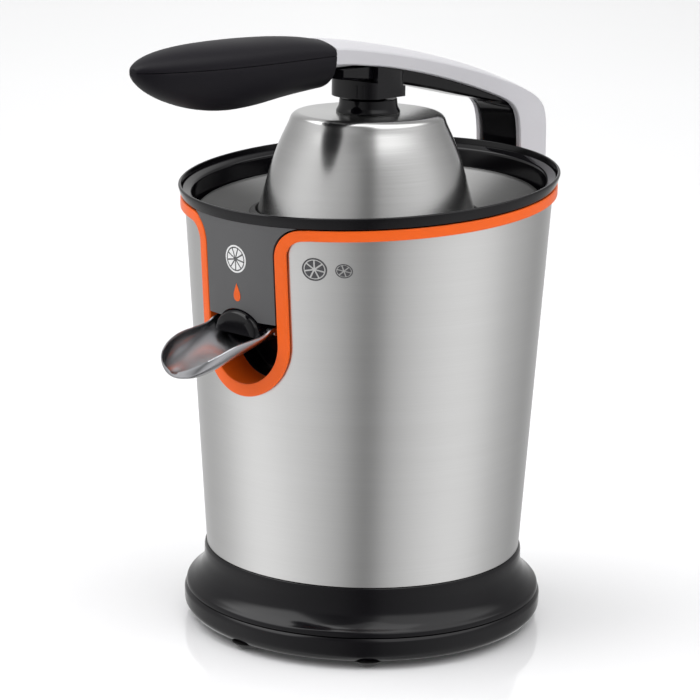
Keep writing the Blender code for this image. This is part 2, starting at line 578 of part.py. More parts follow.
def build_drive():
    """Reamers, shaft, gears, press-to-start parts."""
    small = [(4.3, 214), (4.3, 188.6), (28.5, 188.6), (28, 191), (24, 199), (18, 209), (11, 217.5),
             (5, 221.0), (1.2, 221.8)]
    rings = []
    for step, (radius, height) in enumerate(small):
        rings.append(reamer_ring(radius, height, 8, 0.0 if step < 3 else 0.06))
    place("reamer_small", lofted(rings), BLACK_SATIN)
    large = [(1.2, 222.6), (6, 222.2), (14, 219.6), (30, 196), (36.5, 188.6), (41, 188.6), (35, 202),
             (25, 217), (12, 229), (1.2, 232.6)]
    rings = []
    for step, (radius, height) in enumerate(large):
        rings.append(reamer_ring(radius, height, 10, 0.0 if step < 6 else 0.05))
    place("reamer_large", lofted(rings), BLACK_SATIN)
    place("drive_shaft", turned([(0, 124.2), (SHAFT_RADIUS, 124.2), (SHAFT_RADIUS, 154.4), (6.4, 154.4),
                                 (6.4, 156.8), (SHAFT_RADIUS, 156.8), (SHAFT_RADIUS, 213), (3, 213.6),
                                 (0, 213.6)], 16), STEEL)
    wheel = place("output_gear", extruded(gear(WHEEL_TEETH, (0, 0), math.pi / 2), "z", 124.5, 131.5),
                  NATURAL_NYLON)
    combine(wheel, place("cut_shaft_bore", rod(SHAFT_RADIUS + GAP, (0, 0, 110), (0, 0, 150)), None))

    idler_turn = -math.pi / 2 + math.pi / PINION_TEETH
    idler = place("idler_gear", extruded(gear(WHEEL_TEETH, (0, GEAR_CENTRES), -math.pi / 2
                                              + math.pi / WHEEL_TEETH), "z", 113.4, 120.6),
                  NATURAL_NYLON, (0, GEAR_CENTRES, 0))
    upper = extruded(gear(PINION_TEETH, (0, GEAR_CENTRES), idler_turn), "z", 120.0, 133.8)
    combine(idler, place("cut_idler_pinion", upper, None), "UNION")
    combine(idler, place("cut_idler_bore", rod(2.8, (0, GEAR_CENTRES, 100), (0, GEAR_CENTRES, 150), 12), None))
    place("idler_pin", rod(2.5, (0, GEAR_CENTRES, 108.3), (0, GEAR_CENTRES, 137.0), 12), STEEL)
    pinion = place("motor_pinion", extruded(gear(PINION_TEETH, (0, 0), math.pi / 2), "z", 112.6, 121.2), BRONZE)
    combine(pinion, place("cut_pinion_bore", rod(2.8, (0, 0, 105), (0, 0, 130), 12), None))

    stadium = arc((0, GEAR_CENTRES), 30, 0, 180, 14) + arc((0, 0), 30, 180, 360, 14)
    hollow = arc((0, GEAR_CENTRES), 27.5, 0, 180, 14) + arc((0, 0), 27.5, 180, 360, 14)
    box = place("gearbox_base", extruded(stadium, "z", 108, 134), GREY_PLASTIC)
    combine(box, place("cut_gearbox", extruded(hollow, "z", 111.5, 140), None))
    combine(box, place("cut_motor_hole", rod(4.2, (0, 0, 100), (0, 0, 115)), None))
    combine(box, bpy.data.objects["cut_idler_bore"])
    lid = place("gearbox_cover", extruded(stadium, "z", 134.3, 137.3), GREY_PLASTIC)
    combine(lid, place("cut_lid_bore", rod(SHAFT_RADIUS + 0.6, (0, 0, 130), (0, 0, 145)), None))
    combine(lid, bpy.data.objects["cut_idler_bore"])

    place("thrust_cup", turned([(SHAFT_RADIUS + GAP, 151.6), (22, 151.6), (22, 153.6), (9, 153.6), (9, 154.1),
                                (SHAFT_RADIUS + GAP, 154.1)], 16), NATURAL_NYLON)
    place("return_spring", coil(8.0, 0.8, 138.5, 150.6, 4), STEEL)
    place("switch_body", block((13, -5, 137.6), (24, 5, 147)), BLACK_SATIN)
    combine(bpy.data.objects["switch_body"], place("cut_plunger_bore", rod(1.7, (18.5, 0, 140), (18.5, 0, 150), 12),
                                                    None))
    place("switch_plunger", rod(1.4, (18.5, 0, 143.2), (18.5, 0, 151.2), 12), ORANGE)
    place("upper_bushing", turned([(SHAFT_RADIUS + GAP, 166.5), (7.3, 166.5), (7.3, 181), (SHAFT_RADIUS + GAP, 181)],
                                  16), BRONZE)
    place("shaft_seal", turned([(SHAFT_RADIUS + GAP, 181.4), (7.3, 181.4), (7.3, 184.2), (SHAFT_RADIUS + GAP, 184.9)],
                               16), RUBBER)


def coil(radius, wire, low, high, turns):
    """Compression spring: a round wire swept along a helix with flat caps."""
    steps = turns * 12
    rings = []
    for step in range(steps + 1):
        angle = 2 * math.pi * turns * step / steps
        height = low + wire + (high - low - 2 * wire) * step / steps
        ring = []
        for side in range(5):
            around = 2 * math.pi * side / 5
            reach = radius + wire * math.cos(around)
            ring.append((reach * math.cos(angle), reach * math.sin(angle), height + wire * math.sin(around)))
        rings.append(ring)
    return lofted(rings)


def build_motor(base_holes):
    """Motor, its housing and the chassis that carries the drive."""
    place("motor_rotor", turned([(0, 44.2), (2.5, 44.2), (2.5, 56), (17.4, 56), (17.4, 92), (2.5, 92),
                                 (2.5, 121.4), (0, 121.4)], 16), STEEL)
    place("stator", turned([(18.2, 54), (32.1, 54), (32.1, 94), (18.2, 94)], 20), STEEL)
    fan = place("cooling_fan", extruded(star(9, 8.0, 25.0, 0.2, 0.05), "z", 97, 103), GREY_PLASTIC)
    combine(fan, place("cut_fan_bore", rod(2.8, (0, 0, 90), (0, 0, 105), 12), None))
    place("motor_housing", turned([(6.2, 46), (34.6, 46), (34.6, 102.2), (44, 102.2), (44, 104.7), (32.4, 104.7),
                                   (32.4, 48.4), (6.2, 48.4)], 20), STEEL)
    place("lower_bearing", turned([(2.8, 43.4), (8.4, 43.4), (8.4, 45.7), (5.9, 45.7), (5.9, 50), (2.8, 50)], 16),
          BRONZE)
    chassis = place("chassis", turned([(58.5, 6.4), (58.5, 107.7), (35, 107.7), (35, 105.0), (55.8, 105.0),
                                       (55.8, 18), (43, 18), (43, 6.4)], 24), BLACK_SATIN)
    combine(chassis, base_holes)


def main():
    """Build the whole juicer."""
    global FRAME
    clear_scene()
    FRAME = bpy.data.objects.new("juicer_frame", None)
    bpy.context.collection.objects.link(FRAME)
    FRAME.location = (0, FRAME_SHIFT * MM, 0)
    base_holes = build_base()
    build_body()
    build_juice_path()
    build_press_head()
    build_lever()
    build_drive()
    build_motor(base_holes)
    bpy.context.view_layer.update()


main()
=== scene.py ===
"""Citrus press juicer: finished surfaces, materials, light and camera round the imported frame.

Sizes in the classes are millimetres from the press axis, with the spout towards -Y. A piece is
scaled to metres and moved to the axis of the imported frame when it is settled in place.
"""

import sys
import logging
import math
from dataclasses import dataclass, field
from enum import Enum

import bmesh
import bpy
from mathutils import Matrix, Vector


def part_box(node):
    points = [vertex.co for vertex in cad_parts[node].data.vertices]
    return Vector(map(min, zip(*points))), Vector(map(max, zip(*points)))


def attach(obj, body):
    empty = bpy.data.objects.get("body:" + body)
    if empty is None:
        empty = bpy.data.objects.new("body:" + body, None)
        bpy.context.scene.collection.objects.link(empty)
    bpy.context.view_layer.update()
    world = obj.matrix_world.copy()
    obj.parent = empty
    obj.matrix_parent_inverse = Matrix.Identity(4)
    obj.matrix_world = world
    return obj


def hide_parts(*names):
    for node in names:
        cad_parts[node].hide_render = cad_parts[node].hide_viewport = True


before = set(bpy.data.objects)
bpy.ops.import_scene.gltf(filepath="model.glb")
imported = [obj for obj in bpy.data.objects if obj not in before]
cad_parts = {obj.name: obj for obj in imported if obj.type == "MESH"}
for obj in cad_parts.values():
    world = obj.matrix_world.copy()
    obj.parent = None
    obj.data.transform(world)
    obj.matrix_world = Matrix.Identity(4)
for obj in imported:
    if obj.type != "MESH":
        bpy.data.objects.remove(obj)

MM = 0.001
RIM_LEAN = 0.071
GLAND_HEIGHT = 52.0
LOG = logging.getLogger("juicer")
Point = tuple[float, float]
Row = tuple[float, ...]


class Slot(Enum):
    """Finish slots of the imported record."""

    BRUSHED = "brushed_steel"
    POLISHED = "polished_steel"
    BLACK_GLOSS = "black_gloss"
    BLACK_SATIN = "black_satin"
    SOFT_BLACK = "soft_black"
    RUBBER = "rubber"
    ORANGE = "orange"
    SILVER_PAINT = "silver_paint"
    GREY_PLASTIC = "grey_plastic"
    NYLON = "nylon"
    STEEL = "steel"
    BRONZE = "bronze"


class Body(Enum):
    """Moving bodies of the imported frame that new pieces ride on."""

    HOUSING = "housing"
    SPOUT = "spout"
    LEVER = "lever"
    PRESS = "press_cone"
    REAMER = "reamer_drive"


def press_axis() -> Vector:
    """Point where the press axis meets the table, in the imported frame."""
    low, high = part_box("base_pan")
    return Vector(((low.x + high.x) / 2, (low.y + high.y) / 2, 0.0))


# ---------------------------------------------------------------- mesh tools

def arc(centre: Point, radius: float, start: float, end: float, steps: int) -> list[Point]:
    """Points along an arc.

    Args:
        centre: centre of the arc.
        radius: its radius.
        start: first angle in degrees.
        end: last angle in degrees.
        steps: number of steps between them.

    Returns:
        The steps + 1 points.
    """
    spots = []
    for step in range(steps + 1):
        angle = math.radians(start + (end - start) * step / steps)
        spots.append((centre[0] + radius * math.cos(angle), centre[1] + radius * math.sin(angle)))
    return spots


def rounded(outline: list[Row], radius: float, steps: int = 4) -> list[Point]:
    """Closed outline with every corner rounded.

    Args:
        outline: corners, each with an optional third value that is its own radius.
        radius: corner radius where a corner has none of its own.
        steps: steps round each corner.

    Returns:
        The rounded outline.
    """
    spots: list[Point] = []
    count = len(outline)
    for index, corner in enumerate(outline):
        here = Vector(corner[:2])
        before = Vector(outline[index - 1][:2]) - here
        after = Vector(outline[(index + 1) % count][:2]) - here
        size = corner[2] if len(corner) > 2 else radius
        reach = min(size, before.length * 0.45, after.length * 0.45)
        if reach < 1e-3 or here.x < 1e-6:
            spots.append((here.x, here.y))
            continue
        first = here + before.normalized() * reach
        last = here + after.normalized() * reach
        for step in range(steps + 1):
            share = step / steps
            spot = first.lerp(here, share).lerp(here.lerp(last, share), share)
            spots.append((spot.x, spot.y))
    return spots


def eased(rows: list[Row], rounds: int) -> list[Row]:
    """Corner-cut a run of rows of numbers, keeping both ends.

    Args:
        rows: rows of equal length.
        rounds: times the corners are cut.

    Returns:
        The smoother, longer run.
    """
    for _ in range(rounds):
        smoother = [rows[0]]
        for first, second in zip(rows, rows[1:]):
            smoother.append(tuple(0.75 * a + 0.25 * b for a, b in zip(first, second)))
            smoother.append(tuple(0.25 * a + 0.75 * b for a, b in zip(first, second)))
        smoother.append(rows[-1])
        rows = smoother
    return rows


def lathe(profile: list[Point], steps: int = 160) -> bmesh.types.BMesh:
    """Turn a closed (radius, height) outline about the press axis.

    Args:
        profile: the outline, which may touch the axis.
        steps: facets round the axis.

    Returns:
        The turned mesh.
    """
    bm = bmesh.new()
    spots = [bm.verts.new((radius, 0.0, height)) for radius, height in profile]
    edges = []
    for first, second in zip(spots, spots[1:] + spots[:1]):
        if first.co.x > 1e-6 or second.co.x > 1e-6:
            edges.append(bm.edges.new((first, second)))
    bmesh.ops.spin(bm, geom=spots + edges, cent=(0, 0, 0), axis=(0, 0, 1),
                   angle=2 * math.pi, steps=steps, use_merge=True)
    bmesh.ops.remove_doubles(bm, verts=bm.verts, dist=1e-4)
    return bm


def skin(rings: list[list[Vector]], capped: bool = True) -> bmesh.types.BMesh:
    """Cover a run of closed rings with one surface.

    Args:
        rings: rings of equal point counts.
        capped: whether the two open ends are filled.

    Returns:
        The skinned mesh.
    """
    columns = len(rings[0])
    bm = bmesh.new()
    bmesh.ops.create_grid(bm, x_segments=columns, y_segments=len(rings) - 1, size=1.0)
    bm.verts.ensure_lookup_table()
    for index, vert in enumerate(bm.verts):
        row, column = divmod(index, columns + 1)
        vert.co = rings[row][column % columns]
    bmesh.ops.remove_doubles(bm, verts=bm.verts, dist=1e-4)
    if capped:
        rims = [edge for edge in bm.edges if edge.is_boundary]
        bmesh.ops.edgeloop_fill(bm, edges=rims)
    bmesh.ops.recalc_face_normals(bm, faces=bm.faces)
    return bm


def prism(outline: list[Point], along: str, low: float, high: float) -> bmesh.types.BMesh:
    """Extrude a flat outline.

    Args:
        outline: (y, z) along x, (x, z) along y or (x, y) along z.
        along: the axis of the extrusion.
        low: where it starts.
        high: where it ends.

    Returns:
        The extruded mesh.
    """
    order = {"x": (2, 0, 1), "y": (0, 2, 1), "z": (0, 1, 2)}[along]
    bm = bmesh.new()
    corners = []
    for first, second in outline:
        values = (first, second, low)
        corners.append(bm.verts.new([values[index] for index in order]))
    face = bm.faces.new(corners)
    made = bmesh.ops.extrude_face_region(bm, geom=[face])
    fresh = [part for part in made["geom"] if isinstance(part, bmesh.types.BMVert)]
    travel = [0.0, 0.0, 0.0]
    travel["xyz".index(along)] = high - low
    bmesh.ops.translate(bm, verts=fresh, vec=travel)
    bmesh.ops.recalc_face_normals(bm, faces=bm.faces)
    return bm


def rod(radius: float, start: Row, end: Row, segments: int = 32) -> bmesh.types.BMesh:
    """A round rod between two points.

    Args:
        radius: its radius.
        start: one end.
        end: the other end.
        segments: facets round it.

    Returns:
        The rod.
    """
    run = Vector(end) - Vector(start)
    middle = (Vector(start) + Vector(end)) / 2
    bm = bmesh.new()
    bmesh.ops.create_cone(bm, cap_ends=True, segments=segments, radius1=radius, radius2=radius,
                          depth=run.length, matrix=Matrix.Translation(middle)
                          @ run.to_track_quat("Z", "Y").to_matrix().to_4x4())
    return bm


def shifted(bm: bmesh.types.BMesh, offset: Row) -> bmesh.types.BMesh:
    """Move a mesh.

    Args:
        bm: the mesh.
        offset: how far along x, y and z.

    Returns:
        The same mesh.
    """
    bmesh.ops.translate(bm, verts=bm.verts, vec=offset)
    return bm


def turned(bm: bmesh.types.BMesh, angle: float, axis: str) -> bmesh.types.BMesh:
    """Turn a mesh about an axis through the origin.

    Args:
        bm: the mesh.
        angle: angle in radians.
        axis: X, Y or Z.

    Returns:
        The same mesh.
    """
    bmesh.ops.rotate(bm, verts=bm.verts, cent=(0, 0, 0), matrix=Matrix.Rotation(angle, 3, axis))
    return bm


def leaned(bm: bmesh.types.BMesh, slope: float, above: float, hinge: float = 0.0) -> bmesh.types.BMesh:
    """Tilt the upper part of a mesh by a slope that rises to the back.

    Args:
        bm: the mesh.
        slope: rise per millimetre of y.
        above: height from which vertices are lifted.
        hinge: y where the lift is zero.

    Returns:
        The same mesh.
    """
    for vert in bm.verts:
        if vert.co.z > above:
            vert.co.z += slope * (vert.co.y - hinge)
    return bm


def spare_object(name: str, bm: bmesh.types.BMesh) -> bpy.types.Object:
    """Turn a bmesh into a linked object.

    Args:
        name: object and mesh name.
        bm: the mesh, freed here.

    Returns:
        The object.
    """
    mesh = bpy.data.meshes.new(name)
    bm.to_mesh(mesh)
    bm.free()
    item = bpy.data.objects.new(name, mesh)
    bpy.context.scene.collection.objects.link(item)
    return item


def carved(bm: bmesh.types.BMesh, *cutters: bmesh.types.BMesh, how: str = "DIFFERENCE") -> bmesh.types.BMesh:
    """Cut shapes out of a closed mesh, or join them to it.

    Args:
        bm: the mesh to work on.
        cutters: closed meshes.
        how: DIFFERENCE, UNION or INTERSECT.

    Returns:
        The new mesh.
    """
    bmesh.ops.recalc_face_normals(bm, faces=bm.faces)
    target = spare_object("carved", bm)
    tools = []
    for cutter in cutters:
        bmesh.ops.recalc_face_normals(cutter, faces=cutter.faces)
        tool = spare_object("cutter", cutter)
        tools.append(tool)
        step = target.modifiers.new("cut", "BOOLEAN")
        step.operation = how
        step.solver = "EXACT"
        step.object = tool
    bpy.context.view_layer.update()
    mesh = bpy.data.meshes.new_from_object(target.evaluated_get(bpy.context.evaluated_depsgraph_get()))
    result = bmesh.new()
    result.from_mesh(mesh)
    for item in (target, *tools):
        spent = item.data
        bpy.data.objects.remove(item)
        bpy.data.meshes.remove(spent)
    bpy.data.meshes.remove(mesh)
    return result


# ---------------------------------------------------------------- shader tools

class Sheet:
    """A node tree being wired."""

    def __init__(self, tree: bpy.types.NodeTree) -> None:
        """Hold the tree."""
        self.tree = tree

    def add(self, kind: str, settings: dict | None = None, inputs: dict | None = None) -> bpy.types.Node:
        """Add a node.

        Args:
            kind: its type.
            settings: its own properties.
            inputs: values, or sockets to link, by input name or number.

        Returns:
            The node.
        """
        node = self.tree.nodes.new(kind)
        for name, value in (settings or {}).items():
            setattr(node, name, value)
        for name, value in (inputs or {}).items():
            if isinstance(value, bpy.types.NodeSocket):
                self.tree.links.new(value, node.inputs[name])
            else:
                node.inputs[name].default_value = value
        return node

    def link(self, source: bpy.types.NodeSocket, target: bpy.types.NodeSocket) -> None:
        """Link two sockets.

        Args:
            source: output socket.
            target: input socket.
        """
        self.tree.links.new(source, target)

    def noise(self, place: bpy.types.NodeSocket, scale: object, detail: float) -> bpy.types.NodeSocket:
        """One noise texture.

        Args:
            place: coordinates.
            scale: value or socket.
            detail: octaves.

        Returns:
            Its value from 0 to 1.
        """
        inputs = {"Vector": place, "Scale": scale, "Detail": detail}
        return self.add("ShaderNodeTexNoise", None, inputs).outputs[0]

    def relief(self, shader: bpy.types.Node, height: bpy.types.NodeSocket, strength: float,
               distance: float) -> None:
        """Bump a shader's surface.

        Args:
            shader: the Principled node.
            height: relief from 0 to 1.
            strength: strength of the bump.
            distance: depth in metres.
        """
        inputs = {"Height": height, "Strength": strength, "Distance": distance}
        bump = self.add("ShaderNodeBump", None, inputs)
        self.link(bump.outputs[0], shader.inputs["Normal"])

    def maths(self, operation: str, first: object, second: object = 0.0) -> bpy.types.NodeSocket:
        """One Math node.

        Args:
            operation: what it does.
            first: first value or socket.
            second: second value or socket.

        Returns:
            Its output.
        """
        return self.add("ShaderNodeMath", {"operation": operation}, {0: first, 1: second}).outputs[0]

    def spread(self, value: bpy.types.NodeSocket, low: float, high: float) -> bpy.types.NodeSocket:
        """Map a 0 to 1 value to a range.

        Args:
            value: the input.
            low: result at 0.
            high: result at 1.

        Returns:
            The mapped value.
        """
        return self.add("ShaderNodeMapRange", None,
                        {"Value": value, "To Min": low, "To Max": high}).outputs[0]

    def blend(self, mask: bpy.types.NodeSocket, first: object, second: object) -> bpy.types.NodeSocket:
        """Mix two colours by a mask.

        Args:
            mask: 0 gives the first, 1 the second.
            first: colour or socket.
            second: colour or socket.

        Returns:
            The mixed colour.
        """
        node = self.add("ShaderNodeMix", {"data_type": "RGBA"}, {0: mask, 6: first, 7: second})
        return node.outputs[2]


def new_group(name: str, inputs: list[tuple[str, str, float]],
              outputs: list[str]) -> tuple[Sheet, dict, dict]:
    """Start a shader group.

    Args:
        name: the group's name.
        inputs: name, socket kind (Vector or Float) and default of each input.
        outputs: names of the float outputs.

    Returns:
        The sheet, the input sockets by name and the output sockets by name.
    """
    tree = bpy.data.node_groups.new(name, "ShaderNodeTree")
    for title, kind, default in inputs:
        socket = tree.interface.new_socket(title, in_out="INPUT", socket_type=f"NodeSocket{kind}")
        if kind == "Float":
            socket.default_value = default
    for title in outputs:
        tree.interface.new_socket(title, in_out="OUTPUT", socket_type="NodeSocketFloat")
    sheet = Sheet(tree)
    source = sheet.add("NodeGroupInput")
    drain = sheet.add("NodeGroupOutput")
    return sheet, {item.name: item for item in source.outputs}, {item.name: item for item in drain.inputs}


def brush_lines_group() -> bpy.types.NodeTree:
    """Fine lines that run round the press axis, and the slow bands between them.

    Returns:
        The group, with Lines and Bands outputs from 0 to 1.
    """
    known = bpy.data.node_groups.get("brush_lines")
    if known:
        return known
    sheet, source, drain = new_group("brush_lines",
                                     [("Vector", "Vector", 0.0), ("Lines per mm", "Float", 3.0)],
                                     ["Lines", "Bands"])
    parts = sheet.add("ShaderNodeSeparateXYZ", None, {0: source["Vector"]}).outputs
    flat = sheet.add("ShaderNodeCombineXYZ", None, {0: parts[0], 1: parts[1]}).outputs[0]
    radius = sheet.add("ShaderNodeVectorMath", {"operation": "LENGTH"}, {0: flat}).outputs["Value"]
    climb = sheet.maths("ADD", parts[2], sheet.maths("MULTIPLY", radius, 0.8))
    pitch = sheet.maths("MULTIPLY", source["Lines per mm"], 1000.0)
    fine = sheet.add("ShaderNodeCombineXYZ", None, {
        0: sheet.maths("MULTIPLY", parts[0], 22.0), 1: sheet.maths("MULTIPLY", parts[1], 22.0),
        2: sheet.maths("MULTIPLY", climb, pitch)}).outputs[0]
    slow = sheet.add("ShaderNodeCombineXYZ", None, {
        0: sheet.maths("MULTIPLY", parts[0], 5.0), 1: sheet.maths("MULTIPLY", parts[1], 5.0),
        2: sheet.maths("MULTIPLY", climb, 160.0)}).outputs[0]
    lines = sheet.noise(fine, 1.0, 2.0)
    bands = sheet.noise(slow, 1.0, 3.0)
    sheet.link(lines, drain["Lines"])
    sheet.link(bands, drain["Bands"])
    return sheet.tree


def moulded_grain_group() -> bpy.types.NodeTree:
    """Fine spark-eroded grain of moulded parts, and the faint cloudiness of handling.

    Returns:
        The group, with Grain and Cloud outputs from 0 to 1.
    """
    known = bpy.data.node_groups.get("moulded_grain")
    if known:
        return known
    sheet, source, drain = new_group("moulded_grain",
                                     [("Vector", "Vector", 0.0), ("Grains per mm", "Float", 2.0)],
                                     ["Grain", "Cloud"])
    size = sheet.maths("MULTIPLY", source["Grains per mm"], 1000.0)
    grain = sheet.noise(source["Vector"], size, 2.0)
    cloud = sheet.noise(source["Vector"], 38.0, 4.0)
    sheet.link(grain, drain["Grain"])
    sheet.link(cloud, drain["Cloud"])
    return sheet.tree


def edge_wear_group() -> bpy.types.NodeTree:
    """Rubbed edges: a mask of convex corners, broken up by noise.

    Returns:
        The group, with a Mask output from 0 to 1.
    """
    known = bpy.data.node_groups.get("edge_wear")
    if known:
        return known
    sheet, source, drain = new_group("edge_wear", [("Vector", "Vector", 0.0), ("Amount", "Float", 0.3)],
                                     ["Mask"])
    corner = sheet.add("ShaderNodeNewGeometry").outputs["Pointiness"]
    convex = sheet.add("ShaderNodeMapRange", None,
                       {"Value": corner, "From Min": 0.52, "From Max": 0.62}).outputs[0]
    patchy = sheet.noise(source["Vector"], 220.0, 4.0)
    mask = sheet.maths("MULTIPLY", sheet.maths("MULTIPLY", convex, patchy), source["Amount"])
    sheet.link(mask, drain["Mask"])
    return sheet.tree


@dataclass(frozen=True)
class Finish:
    """A finish: the material's title and its slot in the record."""

    title: str
    slot: Slot

    def material(self) -> bpy.types.Material:
        """The finish's material, made once.

        Returns:
            The material.
        """
        known = bpy.data.materials.get(self.title)
        if known:
            return known
        made = bpy.data.materials.new(self.title)
        made.use_nodes = True
        sheet = Sheet(made.node_tree)
        shader = made.node_tree.nodes["Principled BSDF"]
        coordinates = sheet.add("ShaderNodeTexCoord").outputs["Object"]
        centred = sheet.add("ShaderNodeMapping", None, {"Vector": coordinates, "Location": -press_axis()})
        self.wire(sheet, shader, centred.outputs[0])
        return made

    def wire(self, sheet: Sheet, shader: bpy.types.Node, place: bpy.types.NodeSocket) -> None:
        """Wire the shader; each finish has its own way.

        Args:
            sheet: the material's nodes.
            shader: its Principled node.
            place: coordinates centred on the press axis.
        """
        raise NotImplementedError


@dataclass(frozen=True)
class Brushed(Finish):
    """Stainless steel brushed in lines that run round the axis."""

    light: float = 0.73
    dark: float = 0.65
    smooth: float = 0.26
    rough: float = 0.36
    pitch: float = 3.2
    directional: float = 0.75

    def wire(self, sheet: Sheet, shader: bpy.types.Node, place: bpy.types.NodeSocket) -> None:
        """Lines tint the metal, vary its roughness and cut a fine relief."""
        lines = sheet.add("ShaderNodeGroup", {"node_tree": brush_lines_group()},
                          {"Vector": place, "Lines per mm": self.pitch})
        both = sheet.maths("ADD", sheet.maths("MULTIPLY", lines.outputs["Lines"], 0.6),
                           sheet.maths("MULTIPLY", lines.outputs["Bands"], 0.4))
        tint = sheet.blend(both, (self.dark, self.dark * 0.995, self.dark * 0.985, 1.0),
                           (self.light, self.light, self.light * 0.995, 1.0))
        sheet.link(tint, shader.inputs["Base Color"])
        sheet.link(sheet.spread(both, self.smooth, self.rough), shader.inputs["Roughness"])
        shader.inputs["Metallic"].default_value = 1.0
        shader.inputs["Anisotropic"].default_value = self.directional
        shader.inputs["Anisotropic Rotation"].default_value = 0.25
        sheet.relief(shader, lines.outputs["Lines"], 0.12, 0.00008)


@dataclass(frozen=True)
class Metal(Finish):
    """Polished, turned or cast metal with faint handling marks."""

    colour: Row = (0.8, 0.8, 0.8)
    roughness: float = 0.1
    marks: float = 0.06

    def wire(self, sheet: Sheet, shader: bpy.types.Node, place: bpy.types.NodeSocket) -> None:
        """Cloudy marks vary roughness and tint."""
        grain = sheet.add("ShaderNodeGroup", {"node_tree": moulded_grain_group()},
                          {"Vector": place, "Grains per mm": 1.2})
        wear = sheet.add("ShaderNodeGroup", {"node_tree": edge_wear_group()},
                         {"Vector": place, "Amount": 0.4})
        dull = tuple(value * 0.86 for value in self.colour)
        tint = sheet.blend(grain.outputs["Cloud"], (*dull, 1.0), (*self.colour, 1.0))
        bright = tuple(min(1.0, value * 1.15) for value in self.colour)
        tint = sheet.blend(wear.outputs["Mask"], tint, (*bright, 1.0))
        sheet.link(tint, shader.inputs["Base Color"])
        rough = sheet.spread(grain.outputs["Cloud"], self.roughness, self.roughness + self.marks)
        sheet.link(rough, shader.inputs["Roughness"])
        shader.inputs["Metallic"].default_value = 1.0


@dataclass(frozen=True)
class Plastic(Finish):
    """Moulded plastic: colour, gloss and grain."""

    colour: Row = (0.02, 0.02, 0.022)
    roughness: float = 0.2
    marks: float = 0.05
    grain: float = 0.05
    depth: float = 0.00003
    wear: float = 0.15
    specular: float = 0.5

    def wire(self, sheet: Sheet, shader: bpy.types.Node, place: bpy.types.NodeSocket) -> None:
        """Grain gives the relief, cloudiness the gloss, and rubbed edges go lighter."""
        grain = sheet.add("ShaderNodeGroup", {"node_tree": moulded_grain_group()},
                          {"Vector": place, "Grains per mm": 2.2})
        wear = sheet.add("ShaderNodeGroup", {"node_tree": edge_wear_group()},
                         {"Vector": place, "Amount": self.wear})
        deep = tuple(value * 0.88 for value in self.colour)
        tint = sheet.blend(grain.outputs["Cloud"], (*deep, 1.0), (*self.colour, 1.0))
        rubbed = tuple(min(1.0, value * 1.3 + 0.02) for value in self.colour)
        tint = sheet.blend(wear.outputs["Mask"], tint, (*rubbed, 1.0))
        sheet.link(tint, shader.inputs["Base Color"])
        rough = sheet.spread(grain.outputs["Cloud"], self.roughness, self.roughness + self.marks)
        sheet.link(rough, shader.inputs["Roughness"])
        sheet.relief(shader, grain.outputs["Grain"], self.grain, self.depth)
        shader.inputs["Specular IOR Level"].default_value = self.specular


@dataclass(frozen=True)
class Paint(Finish):
    """Silver paint with fine metal flakes under it."""

    colour: Row = (0.5, 0.49, 0.53)
    roughness: float = 0.34

    def wire(self, sheet: Sheet, shader: bpy.types.Node, place: bpy.types.NodeSocket) -> None:
        """Flakes are small cells of slightly different grey."""
        flakes = sheet.add("ShaderNodeTexVoronoi", None, {"Vector": place, "Scale": 3500.0})
        grain = sheet.add("ShaderNodeGroup", {"node_tree": moulded_grain_group()},
                          {"Vector": place, "Grains per mm": 3.0})
        grey = sheet.add("ShaderNodeRGBToBW", None, {0: flakes.outputs["Color"]}).outputs[0]
        deep = tuple(value * 0.92 for value in self.colour)
        light = tuple(min(1.0, value * 1.06) for value in self.colour)
        tint = sheet.blend(grey, (*deep, 1.0), (*light, 1.0))
        sheet.link(tint, shader.inputs["Base Color"])
        rough = sheet.spread(grain.outputs["Cloud"], self.roughness, self.roughness + 0.05)
        sheet.link(rough, shader.inputs["Roughness"])
        shader.inputs["Metallic"].default_value = 0.35
        sheet.relief(shader, grain.outputs["Grain"], 0.08, 0.00003)


BODY_STEEL = Brushed("brushed_body_steel", Slot.BRUSHED)
DOME_STEEL = Brushed("brushed_dome_steel", Slot.BRUSHED, light=0.6, dark=0.5, smooth=0.16, rough=0.26,
                     directional=0.45)
# Strainer steel is set far darker than the body steel: painted shade for the strainer lying deep in the bowl
# under the dome.
SIEVE_STEEL_PAINTED_SHADE = Brushed("brushed_sieve_steel_painted_shade", Slot.BRUSHED, light=0.23, dark=0.18, smooth=0.34, rough=0.46)
SPOUT_STEEL = Metal("polished_spout_steel", Slot.POLISHED, (0.46, 0.46, 0.48), 0.22, 0.06)
FIXING_STEEL = Metal("zinc_plated_steel", Slot.STEEL, (0.55, 0.55, 0.56), 0.28, 0.12)
BEARING_BRONZE = Metal("oiled_bronze", Slot.BRONZE, (0.55, 0.35, 0.16), 0.32, 0.12)
GLOSS_BLACK = Plastic("gloss_black_plastic", Slot.BLACK_GLOSS, (0.003, 0.0026, 0.0038), 0.1, 0.05, 0.03,
                      specular=0.24)
# Front panel plastic is dark grey rather than black, with raised specular: partly its own dark grey, partly
# painted sheen of the satin panel.
PANEL_GREY_PAINTED_SHEEN = Plastic("satin_panel_plastic_painted_sheen", Slot.BLACK_GLOSS, (0.058, 0.058, 0.061), 0.3, 0.06, 0.1,
                      specular=0.9)
SATIN_BLACK = Plastic("satin_black_plastic", Slot.BLACK_SATIN, (0.035, 0.034, 0.036), 0.42, 0.08, 0.2)
GRIP_BLACK = Plastic("soft_touch_black", Slot.SOFT_BLACK, (0.006, 0.005, 0.008), 0.42, 0.1, 0.35, 0.00006,
                     specular=0.15)
FOOT_RUBBER = Plastic("foot_rubber", Slot.RUBBER, (0.016, 0.016, 0.016), 0.6, 0.1, 0.3)
TRIM_ORANGE = Plastic("orange_plastic", Slot.ORANGE, (0.92, 0.13, 0.01), 0.26, 0.06, 0.04,
                      specular=0.25)
